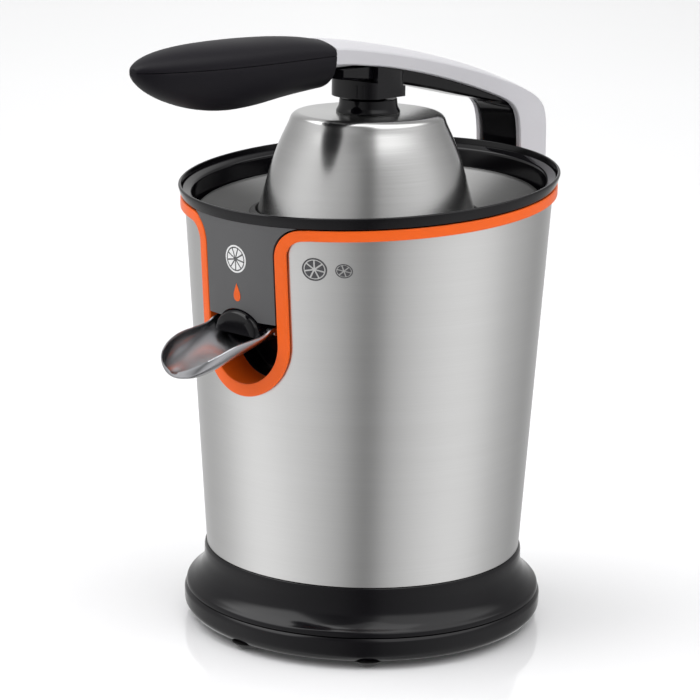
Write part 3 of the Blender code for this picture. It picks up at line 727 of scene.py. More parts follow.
NICHE_ORANGE = Plastic("deep_orange_plastic", Slot.ORANGE, (0.86, 0.12, 0.008), 0.36, 0.06, 0.05,
                       specular=0.2)
ARM_SILVER = Paint("silver_paint", Slot.SILVER_PAINT)
CUP_GREY = Plastic("grey_plastic", Slot.GREY_PLASTIC, (0.3, 0.3, 0.31), 0.4, 0.08, 0.15)
GEAR_NYLON = Plastic("natural_nylon", Slot.NYLON, (0.78, 0.76, 0.7), 0.4, 0.08, 0.1)
PRINT_WHITE = Plastic("white_print", Slot.BLACK_GLOSS, (0.85, 0.85, 0.85), 0.4, 0.05, 0.05)
PRINT_GREY = Plastic("grey_print", Slot.BRUSHED, (0.06, 0.06, 0.065), 0.45, 0.05, 0.05)


def settle(name: str, bm: bmesh.types.BMesh, finish: Finish, body: Body, stands_for: tuple[str, ...] = (),
           edge: float = 0.0, sharp: float = 32.0) -> bpy.types.Object:
    """Make a finished piece of a mesh, in place on its body.

    Args:
        name: piece name.
        bm: mesh in millimetres round the press axis.
        finish: what it is made of.
        body: what it moves with.
        stands_for: CAD nodes that it replaces.
        edge: width of a rounding on its sharp edges, or 0.
        sharp: angle in degrees from which an edge stays sharp.

    Returns:
        The piece.
    """
    bmesh.ops.remove_doubles(bm, verts=bm.verts, dist=1e-4)
    bmesh.ops.recalc_face_normals(bm, faces=bm.faces)
    bmesh.ops.scale(bm, vec=(MM, MM, MM), verts=bm.verts)
    bmesh.ops.translate(bm, vec=press_axis(), verts=bm.verts)
    piece = spare_object(name, bm)
    piece.data.shade_smooth()
    piece.data.set_sharp_from_angle(angle=math.radians(sharp))
    piece.data.materials.append(finish.material())
    if edge:
        rounding = piece.modifiers.new("edge", "BEVEL")
        rounding.width = edge * MM
        rounding.segments = 3
        rounding.limit_method = "ANGLE"
        rounding.angle_limit = math.radians(sharp)
        rounding.harden_normals = True
    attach(piece, body.value)
    if stands_for:
        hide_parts(*stands_for)
    LOG.info("%s: %d faces, %s", name, len(piece.data.polygons), finish.title)
    return piece


def dress(finish: Finish, *nodes: str) -> None:
    """Give carried-over CAD nodes their material.

    Args:
        finish: what they are made of.
        nodes: node names.
    """
    for node in nodes:
        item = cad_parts[node]
        if not item.material_slots:
            item.data.materials.append(finish.material())
        for place in item.material_slots:
            place.material = finish.material()
        LOG.info("%s: carried over, %s", node, finish.title)


# ---------------------------------------------------------------- sub-assemblies

@dataclass
class Wall:
    """The tapered steel wall: a straight line from its foot ring to its leaning top ring."""

    foot_radius: float = 75.83
    foot_height: float = 36.3
    top_radius: float = 86.84
    top_height: float = 209.2
    lean: float = RIM_LEAN
    sheet: float = 1.2

    def radius(self, azimuth: float, height: float) -> float:
        """Outer radius.

        Args:
            azimuth: radians from the front, towards +X.
            height: millimetres over the table.

        Returns:
            The radius there.
        """
        top = self.top_height - self.lean * self.top_radius * math.cos(azimuth)
        share = (height - self.foot_height) / (top - self.foot_height)
        return self.foot_radius + (self.top_radius - self.foot_radius) * share

    def point(self, azimuth: float, height: float, proud: float) -> Vector:
        """Point over the wall.

        Args:
            azimuth: radians from the front.
            height: height.
            proud: distance out from the wall.

        Returns:
            The point.
        """
        reach = self.radius(azimuth, height) + proud
        return Vector((reach * math.sin(azimuth), -reach * math.cos(azimuth), height))

    def front(self, across: float, height: float, proud: float) -> Vector:
        """Point over the wall's front, straight ahead of a given x.

        Args:
            across: x.
            height: z.
            proud: distance out from the wall.

        Returns:
            The point.
        """
        azimuth = 0.0
        for _ in range(4):
            azimuth = math.asin(across / (self.radius(azimuth, height) + proud))
        return self.point(azimuth, height, proud)


@dataclass
class Base:
    """Feet, pan, collar and cord gland."""

    foot_angles: tuple[float, ...] = (0, 45, 135, 180, 225, 315)
    foot_circle: float = 78.0
    screw_spot: Row = (24.0, 41.57, 0.0)
    gland_height: float = GLAND_HEIGHT
    gland_seat: float = 76.8
    pan: list[Row] = field(default_factory=lambda: [
        (0, 3.5, 0), (83.6, 3.5, 0.6), (86.6, 6.6, 2.2), (86.6, 13.4, 1.6), (85.2, 15.0, 0.6),
        (84.2, 15.0, 0.3), (84.2, 6, 0.5), (0, 6, 0)])
    collar: list[Row] = field(default_factory=lambda: [
        (85.8, 15.3, 0.7), (85.4, 17.4, 1.0), (82.4, 19.4, 2.4), (79.2, 22.8, 3.5),
        (76.9, 28.0, 4.0), (76.9, 34.6, 0.8), (76.3, 36, 0.4), (74.4, 36, 0.2), (74.4, 40, 0.2),
        (72.6, 40, 0.2), (72.6, 32, 1.0), (78.5, 19.5, 1.0), (83.2, 15.3, 0.3)])

    def build(self) -> None:
        """Build and dress the base."""
        for number, angle in enumerate(self.foot_angles, 1):
            turn = math.radians(angle)
            foot = lathe(rounded([(0, 0), (3.6, 0, 1.0), (7.8, 3.2, 0.5), (0, 3.2)], 0.4), 40)
            shifted(foot, (self.foot_circle * math.sin(turn), -self.foot_circle * math.cos(turn), 0))
            settle(f"rubber_foot_{number}", foot, FOOT_RUBBER, Body.HOUSING, (f"foot_{number}",))
        self.build_pan()
        settle("base_ring", lathe(rounded(self.collar, 0.8), 192), GLOSS_BLACK, Body.HOUSING,
               ("base_collar",))
        self.build_gland()
        dress(FIXING_STEEL, "base_screw_1", "base_screw_2", "base_screw_3")

    def build_pan(self) -> None:
        """Pan with its vents and screw wells."""
        cutters = []
        for number in range(6):
            slot = rounded([(-2, -66), (2, -66), (2, -54), (-2, -54)], 1.9, 6)
            cutters.append(turned(prism(slot, "z", 0, 9), math.pi * number / 3, "Z"))
        for number in range(3):
            well = lathe([(0, 2), (3.7, 2), (3.7, 5), (2.0, 5), (2.0, 14.6), (0, 14.6)], 24)
            spot = Matrix.Rotation(2 * math.pi * number / 3, 3, "Z") @ Vector(self.screw_spot)
            cutters.append(shifted(well, spot))
        pan = carved(lathe(rounded(self.pan, 0.8), 192), *cutters)
        settle("base_tray", pan, GLOSS_BLACK, Body.HOUSING, ("base_pan",))

    def build_gland(self) -> None:
        """Ribbed strain relief at the back, with its flange."""
        outline = [(0, -9), (4.2, -9, 0.3), (4.2, 0.5, 0.2), (7.5, 0.5, 0.4), (7.5, 3.0, 0.8),
                   (5.2, 3.6, 0.6), (5.0, 5.0, 0.4), (3.2, 5.0, 0.3), (3.2, -1.0, 0.2), (0, -1.0)]
        gland = turned(lathe(rounded(outline, 0.4), 48), -math.pi / 2, "X")
        shifted(gland, (0, self.gland_seat, self.gland_height))
        settle("cord_bushing", gland, FOOT_RUBBER, Body.HOUSING, ("cord_gland",))


@dataclass
class Housing:
    """Steel wall, orange trim, niche, front panel, rim and the marks on them."""

    wall: Wall = field(default_factory=Wall)
    back_holes: tuple[Row, ...] = ((4.6, 60, GLAND_HEIGHT), (2.2, 70, 146), (2.2, 70, 158))
    trim_half: float = 24.4
    fillet: float = 11.0
    corner: Point = (35.4, 190.5)
    foot_centre: float = 150.0
    trim_proud: float = 1.2
    trim_thick: float = 1.65
    side_width: float = 6.0
    band_width: float = 4.9
    band_radius: float = 88.05
    band_height: float = 207.45
    sleeve_half: float = 21.4
    sleeve_back: float = -66.0
    panel_half: float = 21.1
    panel_flare: float = 14.3
    panel_foot: float = 159.0
    panel_top: float = 204.5
    rim: list[Row] = field(default_factory=lambda: [
        (88.3, 210.3, 0.4), (89.7, 214.0, 1.2), (90.0, 215.3, 0.6), (89.5, 215.8, 0.4), (88.6, 215.8, 0.4),
        (88.4, 210.8, 0.3), (85.4, 210.8, 0.3), (85.4, 209.6, 0.3), (87.0, 209.6, 0.3), (87.0, 210.3, 0.3)])

    def build(self) -> None:
        """Build and dress the housing."""
        self.build_wall()
        self.build_trim()
        self.build_sleeve()
        self.build_panel()
        rim = leaned(lathe(rounded(self.rim, 0.4), 192), self.wall.lean, 0.0)
        settle("rim_ring", rim, GLOSS_BLACK, Body.HOUSING, ("rim_collar",))
        self.build_marks()

    def opening(self, half: float, top: float, fillet: float) -> list[Point]:
        """Outline (x, z) of the niche with flared top corners.

        Args:
            half: half width.
            top: height of the top corners.
            fillet: their radius.

        Returns:
            The outline.
        """
        right = arc((0.0, self.foot_centre), half, -90, 0, 24)
        right += arc((half + fillet, top - fillet), fillet, 180, 90, 12)
        right.append((half + fillet, top + 20))
        return right + [(-x, z) for x, z in reversed(right[1:])]

    def build_wall(self) -> None:
        """Brushed wall with the niche window cut out."""
        wall = self.wall
        profile = [(wall.foot_radius, wall.foot_height), (wall.top_radius, wall.top_height),
                   (wall.top_radius - wall.sheet, wall.top_height),
                   (wall.foot_radius - wall.sheet, wall.foot_height)]
        shell = leaned(lathe(profile, 192), wall.lean, 150)
        window = prism(self.opening(self.trim_half, 201.5, self.fillet), "y", -110, -40)
        holes = [rod(radius, (0, start, height), (0, 95, height))
                 for radius, start, height in self.back_holes]
        settle("body_wall", carved(shell, window, *holes), BODY_STEEL, Body.HOUSING, ("steel_body",))

    def trim_path(self) -> list[tuple[Vector, float]]:
        """Centre line of the trim, from the niche's foot round the back and home.

        Returns:
            Points with the trim's width at each.
        """
        right = [(x, z, self.side_width) for x, z in arc((0.0, self.foot_centre), self.trim_half, -90, 0, 32)]
        for step in range(1, 13):
            height = self.foot_centre + (self.corner[1] - self.foot_centre) * step / 12
            right.append((self.trim_half, height, self.side_width))
        bend = arc(self.corner, self.fillet, 180, 90, 14)
        for step, (x, z) in enumerate(bend[1:], 1):
            right.append((x, z, self.side_width + (self.band_width - self.side_width) * step / 14))
        side = [(self.wall.front(x, z, self.trim_proud), width) for x, z, width in right]
        path = list(side)
        start = math.asin(self.corner[0] / self.band_radius)
        for step in range(1, 160):
            azimuth = start + (2 * math.pi - 2 * start) * step / 160
            spot = Vector((self.band_radius * math.sin(azimuth), -self.band_radius * math.cos(azimuth), 0.0))
            spot.z = self.band_height + self.wall.lean * spot.y
            path.append((spot, self.band_width))
        for spot, width in side[:0:-1]:
            path.append((Vector((-spot.x, spot.y, spot.z)), width))
        return path

    def build_trim(self) -> None:
        """One closed strip with a rounded section, swept along its path."""
        path = self.trim_path()
        count = len(path)
        rings = []
        for index, (spot, width) in enumerate(path):
            along = (path[(index + 1) % count][0] - path[index - 1][0]).normalized()
            out = Vector((spot.x, spot.y, 0.0)).normalized()
            out = (out - along * out.dot(along)).normalized()
            side = along.cross(out)
            half, thick = width / 2, self.trim_thick / 2
            section = rounded([(half + 9, thick + 9), (-half + 9, thick + 9), (-half + 9, -thick + 9),
                               (half + 9, -thick + 9)], 0.62, 3)
            rings.append([spot + side * (u - 9) + out * (v - 9) for u, v in section])
        settle("orange_trim", skin(rings + [rings[0]], capped=False), TRIM_ORANGE, Body.HOUSING,
               ("accent_trim",), sharp=60)

    def build_sleeve(self) -> None:
        """Orange lining of the niche, and the black lining behind it."""
        heights = [163.0 - 13.0 * step / 4 for step in range(4)]
        spots = [(-1.0, 0.0, height) for height in heights]
        spots += [(x, z, self.foot_centre) for x, z in arc((0.0, 0.0), 1.0, 180, 360, 40)]
        spots += [(1.0, 0.0, height) for height in reversed(heights)]
        inner, outer = self.sleeve_half, self.sleeve_half + 1.2
        rings = []
        for x, drop, centre in spots:
            mouth_in = self.wall.front(inner * x, centre + inner * drop, 1.5)
            mouth_out = self.wall.front(outer * x, centre + outer * drop, 1.5)
            rings.append([mouth_in, Vector((inner * x, self.sleeve_back, centre + inner * drop)),
                          Vector((outer * x, self.sleeve_back, centre + outer * drop)), mouth_out])
        settle("niche_sleeve", skin(rings), NICHE_ORANGE, Body.HOUSING, edge=0.3)
        outline = arc((0.0, self.foot_centre), 22.6, -180, 0, 40) + [(22.6, 163.2), (-22.6, 163.2)]
        hollow = arc((0.0, self.foot_centre), 21.3, -180, 0, 40) + [(21.3, 190), (-21.3, 190)]
        lining = carved(prism(outline, "y", self.sleeve_back + 0.1, -54.5), prism(hollow, "y", -120, -56.5))
        settle("niche_lining", lining, GLOSS_BLACK, Body.HOUSING, ("niche_liner",), edge=0.25)

    def build_panel(self) -> None:
        """Flared front panel that runs from the rim down to the hood."""
        rings = []
        rows = 40
        for row in range(rows + 1):
            height = self.panel_foot + (self.panel_top - self.panel_foot) * row / rows
            over = max(0.0, height - self.corner[1])
            half = self.panel_half
            if over > 0:
                half = self.corner[0] - math.sqrt(self.panel_flare ** 2 - over ** 2)
            proud = 1.9 - 0.8 * max(0.0, (height - 202.5) / 2.0)
            outer = [self.wall.front(half * (step / 16 - 1), height, proud) for step in range(33)]
            inner = [self.wall.front(half * (step / 16 - 1), height, -0.9) for step in range(33)]
            rings.append(outer + inner[::-1])
        notch = [(13.9 * x, 153.0 + 10.8 * z) for x, z in arc((0.0, 0.0), 1.0, 0, 180, 24)]
        hood = prism([(13.9, 150)] + notch + [(-13.9, 150)], "y", -120, -60)
        # The panel's grey plastic is partly its own dark grey, partly painted sheen.
        settle("front_panel", carved(skin(rings), hood), PANEL_GREY_PAINTED_SHEEN, Body.HOUSING, edge=0.35, sharp=40)

    def build_marks(self) -> None:
        """Generic printed marks: a citrus slice and a drop in front, two slices on the wall."""
        marks = bmesh.new()
        self.add_slice(marks, 0.0, 187.0, 6.4, 1.95, 9)
        settle("panel_slice_mark", marks, PRINT_WHITE, Body.HOUSING)
        marks = bmesh.new()
        drop = [(3.0 * math.sin(angle) * math.sin(angle / 2) ** 1.5, 171.5 + 4.2 * math.cos(angle))
                for angle in [2 * math.pi * step / 36 for step in range(36)]]
        self.add_patch(marks, drop, 1.95)
        settle("panel_drop_mark", marks, TRIM_ORANGE, Body.HOUSING)
        marks = bmesh.new()
        self.add_slice(marks, 38.5, 186.5, 5.2, 0.05, 7)
        self.add_slice(marks, 50.0, 186.5, 3.2, 0.05, 6)
        settle("wall_slice_mark", marks, PRINT_GREY, Body.HOUSING)

    def add_patch(self, bm: bmesh.types.BMesh, outline: list[Point], proud: float) -> None:
        """Add a thin flat shape that lies on the wall.

        Args:
            bm: mesh it goes into.
            outline: its (x, z) outline.
            proud: where its underside lies over the wall.
        """
        face = bm.faces.new([bm.verts.new(self.wall.front(x, z, proud)) for x, z in outline])
        made = bmesh.ops.extrude_face_region(bm, geom=[face])
        for part in made["geom"]:
            if isinstance(part, bmesh.types.BMVert):
                part.co += Vector((part.co.x, part.co.y, 0.0)).normalized() * 0.12

    def add_slice(self, bm: bmesh.types.BMesh, across: float, height: float, radius: float, proud: float,
                  wedges: int) -> None:
        """Add a citrus slice: a peel ring and its wedges.

        Args:
            bm: mesh it goes into.
            across: x of its middle.
            height: z of its middle.
            radius: outer radius.
            proud: where its underside lies over the wall.
            wedges: number of wedges.
        """
        shapes = []
        for step in range(48):
            first, last = [2 * math.pi * (step + part) / 48 for part in (0.0, 1.0)]
            shapes.append([(radius, first), (radius, last), (radius * 0.88, last), (radius * 0.88, first)])
        for wedge in range(wedges):
            middle = 2 * math.pi * (wedge + 0.25) / wedges
            reach = math.pi / wedges * 0.8
            rim = [(radius * 0.78, middle - reach + 2 * reach * part / 6) for part in range(7)]
            shapes.append([(radius * 0.16, middle)] + rim)
        for shape in shapes:
            outline = [(across + r * math.cos(a), height + r * math.sin(a)) for r, a in shape]
            self.add_patch(bm, outline, proud)


@dataclass
class JuicePath:
    """Bowl, strainer, outlet hood, spout and its pin."""

    lean: float = RIM_LEAN
    floor_lean: float = 0.045
    bowl: list[Row] = field(default_factory=lambda: [
        (88.0, 213.5, 0.8), (83.4, 211.8, 1.2), (81.6, 181, 6.0), (78, 172.5, 3.0), (72, 170, 1.0),
        (11.0, 170, 2.0), (11.0, 184.6, 0.8), (7.6, 184.6, 0.5), (7.6, 168, 0.5), (72.6, 168, 1.0),
        (79.6, 171, 2.0), (83.2, 180, 4.0), (84.9, 211.4, 0.4), (88.0, 211.4, 0.4)])
    sieve: list[Point] = field(default_factory=lambda: [
        (80.4, 203.6), (79.4, 202.5), (70.0, 196.9), (60, 190.6), (58, 190.0), (46, 186.5), (44, 185.9),
        (30, 185.9), (12, 185.9)])
    spout: list[Row] = field(default_factory=lambda: [
        (-75.5, 18.6, 157.6, 147.6), (-79.0, 18.8, 157.8, 147.5), (-83.5, 19.0, 156.8, 147.2),
        (-87.5, 19.0, 154.4, 146.4), (-95.0, 19.0, 153.6, 144.2), (-105.0, 19.0, 152.6, 140.8),
        (-112.5, 18.0, 150.2, 138.4), (-118.0, 15.8, 147.4, 137.4), (-122.0, 12.6, 144.8, 137.4),
        (-124.6, 8.2, 142.6, 138.0), (-125.6, 3.6, 141.0, 138.8)])
    spout_wall: float = 1.2
    spout_pin: Row = (18.4, -79.5, 154.8)
    hood_half: float = 13.6
    hood_rise: float = 10.5
    hood_foot: float = 152.6
    hood_spring: float = 153.0
    hollow_half: float = 11.4
    hollow_rise: float = 8.3
    hood_stations: tuple[Point, ...] = ((-57.0, 1.0), (-83.0, 1.0), (-85.6, 0.985), (-87.2, 0.94),
                                        (-88.0, 0.86), (-88.0, 0.6))

    def build(self) -> None:
        """Build and dress the juice path."""
        self.build_bowl()
        self.build_strainer()
        self.build_hood()
        self.build_spout()
        reach, y, z = self.spout_pin
        pin = rod(1.5, (-reach, y, z), (reach, y, z))
        settle("spout_axle", pin, FIXING_STEEL, Body.HOUSING, ("spout_pin",), edge=0.2)

    def build_bowl(self) -> None:
        """Bowl whose rim and floor lean to the front."""
        bowl = lathe(rounded(self.bowl, 0.8, 5), 192)
        for vert in bowl.verts:
            radius = math.hypot(vert.co.x, vert.co.y)
            if vert.co.z > 200:
                vert.co.z += self.lean * vert.co.y
            elif vert.co.z < 173.5 and radius > 12.5:
                vert.co.z += self.floor_lean * vert.co.y
        outlet = rod(5.0, (0, -64, 150), (0, -64, 180))
        settle("juice_basin", carved(bowl, outlet), GLOSS_BLACK, Body.HOUSING, ("juice_bowl",))

    def build_strainer(self) -> None:
        """Pressed strainer with a ring of slots."""
        bm = bmesh.new()
        spots = [bm.verts.new((radius, 0.0, height)) for radius, height in self.sieve]
        edges = [bm.edges.new(pair) for pair in zip(spots, spots[1:])]
        bmesh.ops.spin(bm, geom=spots + edges, cent=(0, 0, 0), axis=(0, 0, 1), angle=2 * math.pi, steps=144,
                       use_merge=True)
        bmesh.ops.remove_doubles(bm, verts=bm.verts, dist=1e-4)
        slots = []
        for face in bm.faces:
            middle = face.calc_center_median()
            sector = int((math.atan2(middle.y, middle.x) % (2 * math.pi)) / (2 * math.pi) * 144)
            if 46.5 < middle.xy.length < 57.5 and sector % 2:
                slots.append(face)
        bmesh.ops.delete(bm, geom=slots, context="FACES")
        for vert in bm.verts:
            if vert.co.z > 190:
                vert.co.z += self.lean * vert.co.y * min(1.0, (vert.co.z - 190) / 10)
        # The strainer takes the darkened steel: painted shade of the bowl's depth.
        sieve = settle("slotted_strainer", bm, SIEVE_STEEL_PAINTED_SHADE, Body.HOUSING, ("strainer",))
        wall = sieve.modifiers.new("sheet", "SOLIDIFY")
        wall.thickness = 1.0 * MM
        wall.offset = -1.0

    def build_hood(self) -> None:
        """Arched outlet hood over the spout's root, open underneath."""
        half, rise, foot, spring = self.hood_half, self.hood_rise, self.hood_foot, self.hood_spring
        arch = arc((0.0, 0.0), 1.0, 0, 180, 32)
        rings = []
        for y, share in self.hood_stations:
            crown = [(half * x * share, spring + rise * z * share) for x, z in arch]
            section = [(half * share, foot)] + crown + [(-half * share, foot)]
            rings.append([Vector((x, y, z)) for x, z in section])
        inner = self.hollow_half
        hollow = [(inner * x, spring + self.hollow_rise * z) for x, z in arch]
        cavity = prism([(inner, 140.0)] + hollow + [(-inner, 140.0)], "y", -85.6, -73.0)
        hood = carved(skin(rings), cavity, rod(4.6, (0, -56.0, 171), (0, -78.0, 154.0)))
        settle("outlet_hood", hood, GLOSS_BLACK, Body.HOUSING, ("outlet_nozzle",), sharp=40)

    def build_spout(self) -> None:
        """Polished scoop with a rolled edge and a rounded pouring lip."""
        rings = []
        for y, half, edge, floor in eased(self.spout, 3):
            wall = min(self.spout_wall, half * 0.5)
            outer = [(half * x, edge - (edge - floor) * z) for x, z in arc((0.0, 0.0), 1.0, 0, 180, 28)]
            inner = [((half - wall) * x, edge - (edge - floor - wall) * z)
                     for x, z in arc((0.0, 0.0), 1.0, 180, 0, 28)]
            lip_left = [(-half + wall / 2, edge + wall * 0.35)]
            lip_right = [(half - wall / 2, edge + wall * 0.35)]
            rings.append([Vector((x, y, z)) for x, z in outer + lip_left + inner + lip_right])
        settle("scoop_spout", skin(rings), SPOUT_STEEL, Body.SPOUT, ("pour_spout",), sharp=70)


@dataclass
class PressHead:
    """Brushed dome, inner cup, gasket and neck of the press."""

    offset: float = -1.5
    dome: list[Row] = field(default_factory=lambda: [
        (4.6, 245.5, 0.2), (33.4, 245.5, 1.2), (35.9, 244.0, 1.6), (37.2, 240.5, 2.0), (41.1, 232.3, 6.0),
        (44.3, 223.8, 6.0), (47.2, 214, 6.0), (49.8, 204.4, 4.0), (51.4, 199, 2.0), (53.2, 195.2, 0.3),
        (51.9, 195.0, 0.3), (50.1, 199.4, 2.0), (48.6, 204.6, 4.0), (46.0, 214.2, 6.0), (43.1, 224.1, 6.0),
        (39.9, 232.7, 6.0), (36.0, 240.8, 2.0), (34.9, 243.2, 1.0), (33.0, 244.3, 0.8), (4.6, 244.3, 0.2)])
    cup: list[Row] = field(default_factory=lambda: [
        (4.6, 243.9, 0.2), (32.0, 243.7, 1.0), (34.2, 242.6, 1.0), (35.4, 239.9, 2.0), (42.5, 223.2, 6.0),
        (48.1, 203.8, 3.0), (51.2, 195.6, 0.3), (48.8, 195.6, 0.3), (45.7, 203.4, 3.0), (40.1, 222.8, 6.0),
        (33.0, 239.5, 2.0), (31.0, 241.4, 1.0), (4.6, 241.7, 0.2)])
    gasket: list[Row] = field(default_factory=lambda: [
        (53.4, 195.6, 0.3), (55.5, 195.9, 0.7), (55.5, 198.2, 0.9), (52.5, 199.4, 0.4)])
    neck: list[Row] = field(default_factory=lambda: [
        (0, 238.0), (4.2, 238.0, 0.3), (4.2, 245.8, 0.2), (15.2, 245.8, 0.4), (15.0, 246.6, 0.3),
        (13.9, 248.6, 1.0), (13.5, 252.2, 0.5), (7.4, 252.2, 0.5), (7.4, 261.0, 0.4), (6.2, 262.0, 0.3),
        (0, 262.0)])

    def build(self) -> None:
        """Build and dress the press head."""
        pieces = (("press_dome_shell", self.dome, DOME_STEEL, "press_dome", 176),
                  ("press_inner_cup", self.cup, CUP_GREY, "press_cup", 128),
                  ("dome_seal", self.gasket, FOOT_RUBBER, "dome_gasket", 160),
                  ("press_neck_post", self.neck, GLOSS_BLACK, "press_neck", 96))
        for name, outline, finish, node, steps in pieces:
            bm = shifted(lathe(rounded(outline, 0.4, 5), steps), (0, self.offset, 0))
            if node == "press_neck":
                bm = carved(bm, rod(2.3, (-20, self.offset, 258), (20, self.offset, 258)))
            settle(name, bm, finish, Body.PRESS, (node,), sharp=40)
        dress(FIXING_STEEL, "dome_nut")


@dataclass
class Lever:
    """Silver arm, black liner, hub and soft grip."""

    half: float = 14.5
    wall: float = 2.6
    crown: float = 3.6
    press_y: float = -1.5
    hinge: Point = (104.5, 188.0)
    hub_radius: float = 17.3
    hub_foot: float = 253.5
    hub_plan: tuple[Point, ...] = ((14.5, -10.9), (14.5, 3.7), (10.6, 12.4), (-10.6, 12.4), (-14.5, 3.7),
                                   (-14.5, -10.9))
    rib_azimuths: tuple[float, ...] = (23.0, 35.0)
    stations: list[Row] = field(default_factory=lambda: [
        (-38.7, 279.0, -38.7, 271.5), (-30, 278.5, -30, 271.2), (0, 274.0, -1, 267.7),
        (31.7, 267.8, 28.5, 261.6), (64.5, 259.8, 59, 253.2), (90.2, 251.6, 80, 246.2),
        (102.5, 246.6, 86.5, 243.2),
        (110.3, 241.6, 90.3, 239.8), (113.6, 235, 92.6, 235), (114.3, 226, 94, 226), (114.6, 205, 94.5, 205),
        (114.6, 181, 94.5, 181)])
    drops: tuple[float, ...] = (7.2, 7.0, 6.6, 5.6, 4.0, 1.0, 0.0, -0.5, -1.0, -1.0, -1.0)
    grip: list[Row] = field(default_factory=lambda: [
        (-39.2, 15.2, 282.4, 260.0), (-48, 15.8, 284.0, 259.4), (-64, 16.8, 285.4, 258.0),
        (-82, 17.8, 286.0, 255.6), (-99, 18.0, 286.0, 254.9), (-116, 16.6, 285.5, 257.2),
        (-130, 13.4, 284.2, 261.4), (-140, 9.6, 282.2, 266.0), (-146.5, 5.6, 279.6, 270.8),
        (-149, 2.2, 277.6, 274.0)])
    seam: float = 276.0

    def build(self) -> None:
        """Build and dress the lever."""
        self.build_arm()
        self.build_liner()
        self.build_hub()
        self.build_grip()
        pin = rod(3.0, (-14.3, *self.hinge), (14.3, *self.hinge), 48)
        settle("rear_hinge_pin", pin, FIXING_STEEL, Body.LEVER, ("hinge_pin",), edge=0.4)
        dress(FIXING_STEEL, "grip_core", "grip_screw", "pivot_pin")

    def build_arm(self) -> None:
        """Channel-shaped arm with flat sides and a crowned top."""
        rings = []
        inside = self.half - self.wall
        for row in eased(self.stations, 3):
            top, bottom = Vector(row[:2]), Vector(row[2:])
            out = (top - bottom).normalized()
            half = [(inside, bottom), (self.half - 0.6, bottom), (self.half, bottom + out * 0.6),
                    (self.half, top - out * 0.5), (self.half - 0.45, top + out * 0.25)]
            for step in range(1, 9):
                share = step / 8
                across = (self.half - 0.45) * (1 - share)
                lift = 0.25 + (self.crown - 0.25) * math.sin(share * math.pi / 2) ** 0.9
                half.append((across, top + out * lift))
            roof = top + out * (self.crown - self.wall)
            shoulder = top - out * 1.4
            under = [(-inside, shoulder), (0.0, roof), (inside, shoulder)]
            spots = half + [(-x, spot) for x, spot in reversed(half[:-1])] + under
            rings.append([Vector((x, spot.x, spot.y)) for x, spot in spots])
        bore = rod(3.3, (-20, *self.hinge), (20, *self.hinge))
        settle("silver_arm", carved(skin(rings), bore), ARM_SILVER, Body.LEVER, ("lever_arm",), sharp=25)

    def build_liner(self) -> None:
        """Black liner under the arm, deeper towards the grip."""
        across = self.half - self.wall - 0.3
        stations = [(-31, 278.6, -31, 271.2)] + self.stations[2:10]
        stations += [(114.6, 214, 94.5, 214), (114.6, 198, 94.5, 198)]
        rows = [(*row, drop) for row, drop in zip(stations, self.drops)]
        rings = []
        for row in eased(rows, 3):
            top, bottom = Vector(row[:2]), Vector(row[2:4])
            out = (top - bottom).normalized()
            ceiling = top - out * 1.8
            if row[0] < 10:
                ceiling = Vector((top.x, min(ceiling.y, 268.6)))
            floor = bottom - out * row[4]
            soft = floor + out * 1.2
            rings.append([Vector((x, spot.x, spot.y)) for x, spot in (
                (across, ceiling), (-across, ceiling), (-across, soft), (-across + 1.4, floor),
                (across - 1.4, floor), (across, soft))])
        socket = rod(10.0, (0, self.press_y, 250), (0, self.press_y, 265.0), 48)
        settle("arm_liner", carved(skin(rings), socket), GLOSS_BLACK, Body.LEVER, ("lever_liner",), sharp=30)

    def build_hub(self) -> None:
        """Hub under the liner, with cheeks and two upright ribs on its side."""
        foot, radius = self.hub_foot, self.hub_radius
        flats = math.degrees(math.acos(self.half / radius))
        centre = (0.0, self.press_y)
        outline = arc(centre, radius, flats, 180 - flats, 24)
        outline += arc(centre, radius, 180 + flats, 360 - flats, 24)
        hub = leaned(prism(outline, "z", foot, 259.4), -0.145, 257)
        cheeks = leaned(prism(list(self.hub_plan), "z", foot, 266.6), -0.19, 260, -1.0)
        gap = prism([(-11.9, 257.8), (11.9, 257.8), (11.9, 275), (-11.9, 275)], "y", -30, 30)
        hub = carved(hub, carved(cheeks, gap), how="UNION")
        hub = carved(hub, rod(9.0, (0, self.press_y, 250), (0, self.press_y, 264.5), 48))
        settle("press_hub_block", hub, GLOSS_BLACK, Body.LEVER, ("press_hub",), edge=0.5, sharp=40)
        section = rounded([(-0.7, -17.9, 0.3), (0.7, -17.9, 0.3), (0.7, -17.0, 0.1), (-0.7, -17.0, 0.1)], 0.2)
        for number, azimuth in enumerate(self.rib_azimuths, 1):
            rib = turned(prism(section, "z", 253.9, 259.6), math.radians(azimuth), "Z")
            shifted(rib, (0, self.press_y, 0))
            settle(f"press_hub_rib_{number}", rib, GLOSS_BLACK, Body.LEVER, sharp=40)

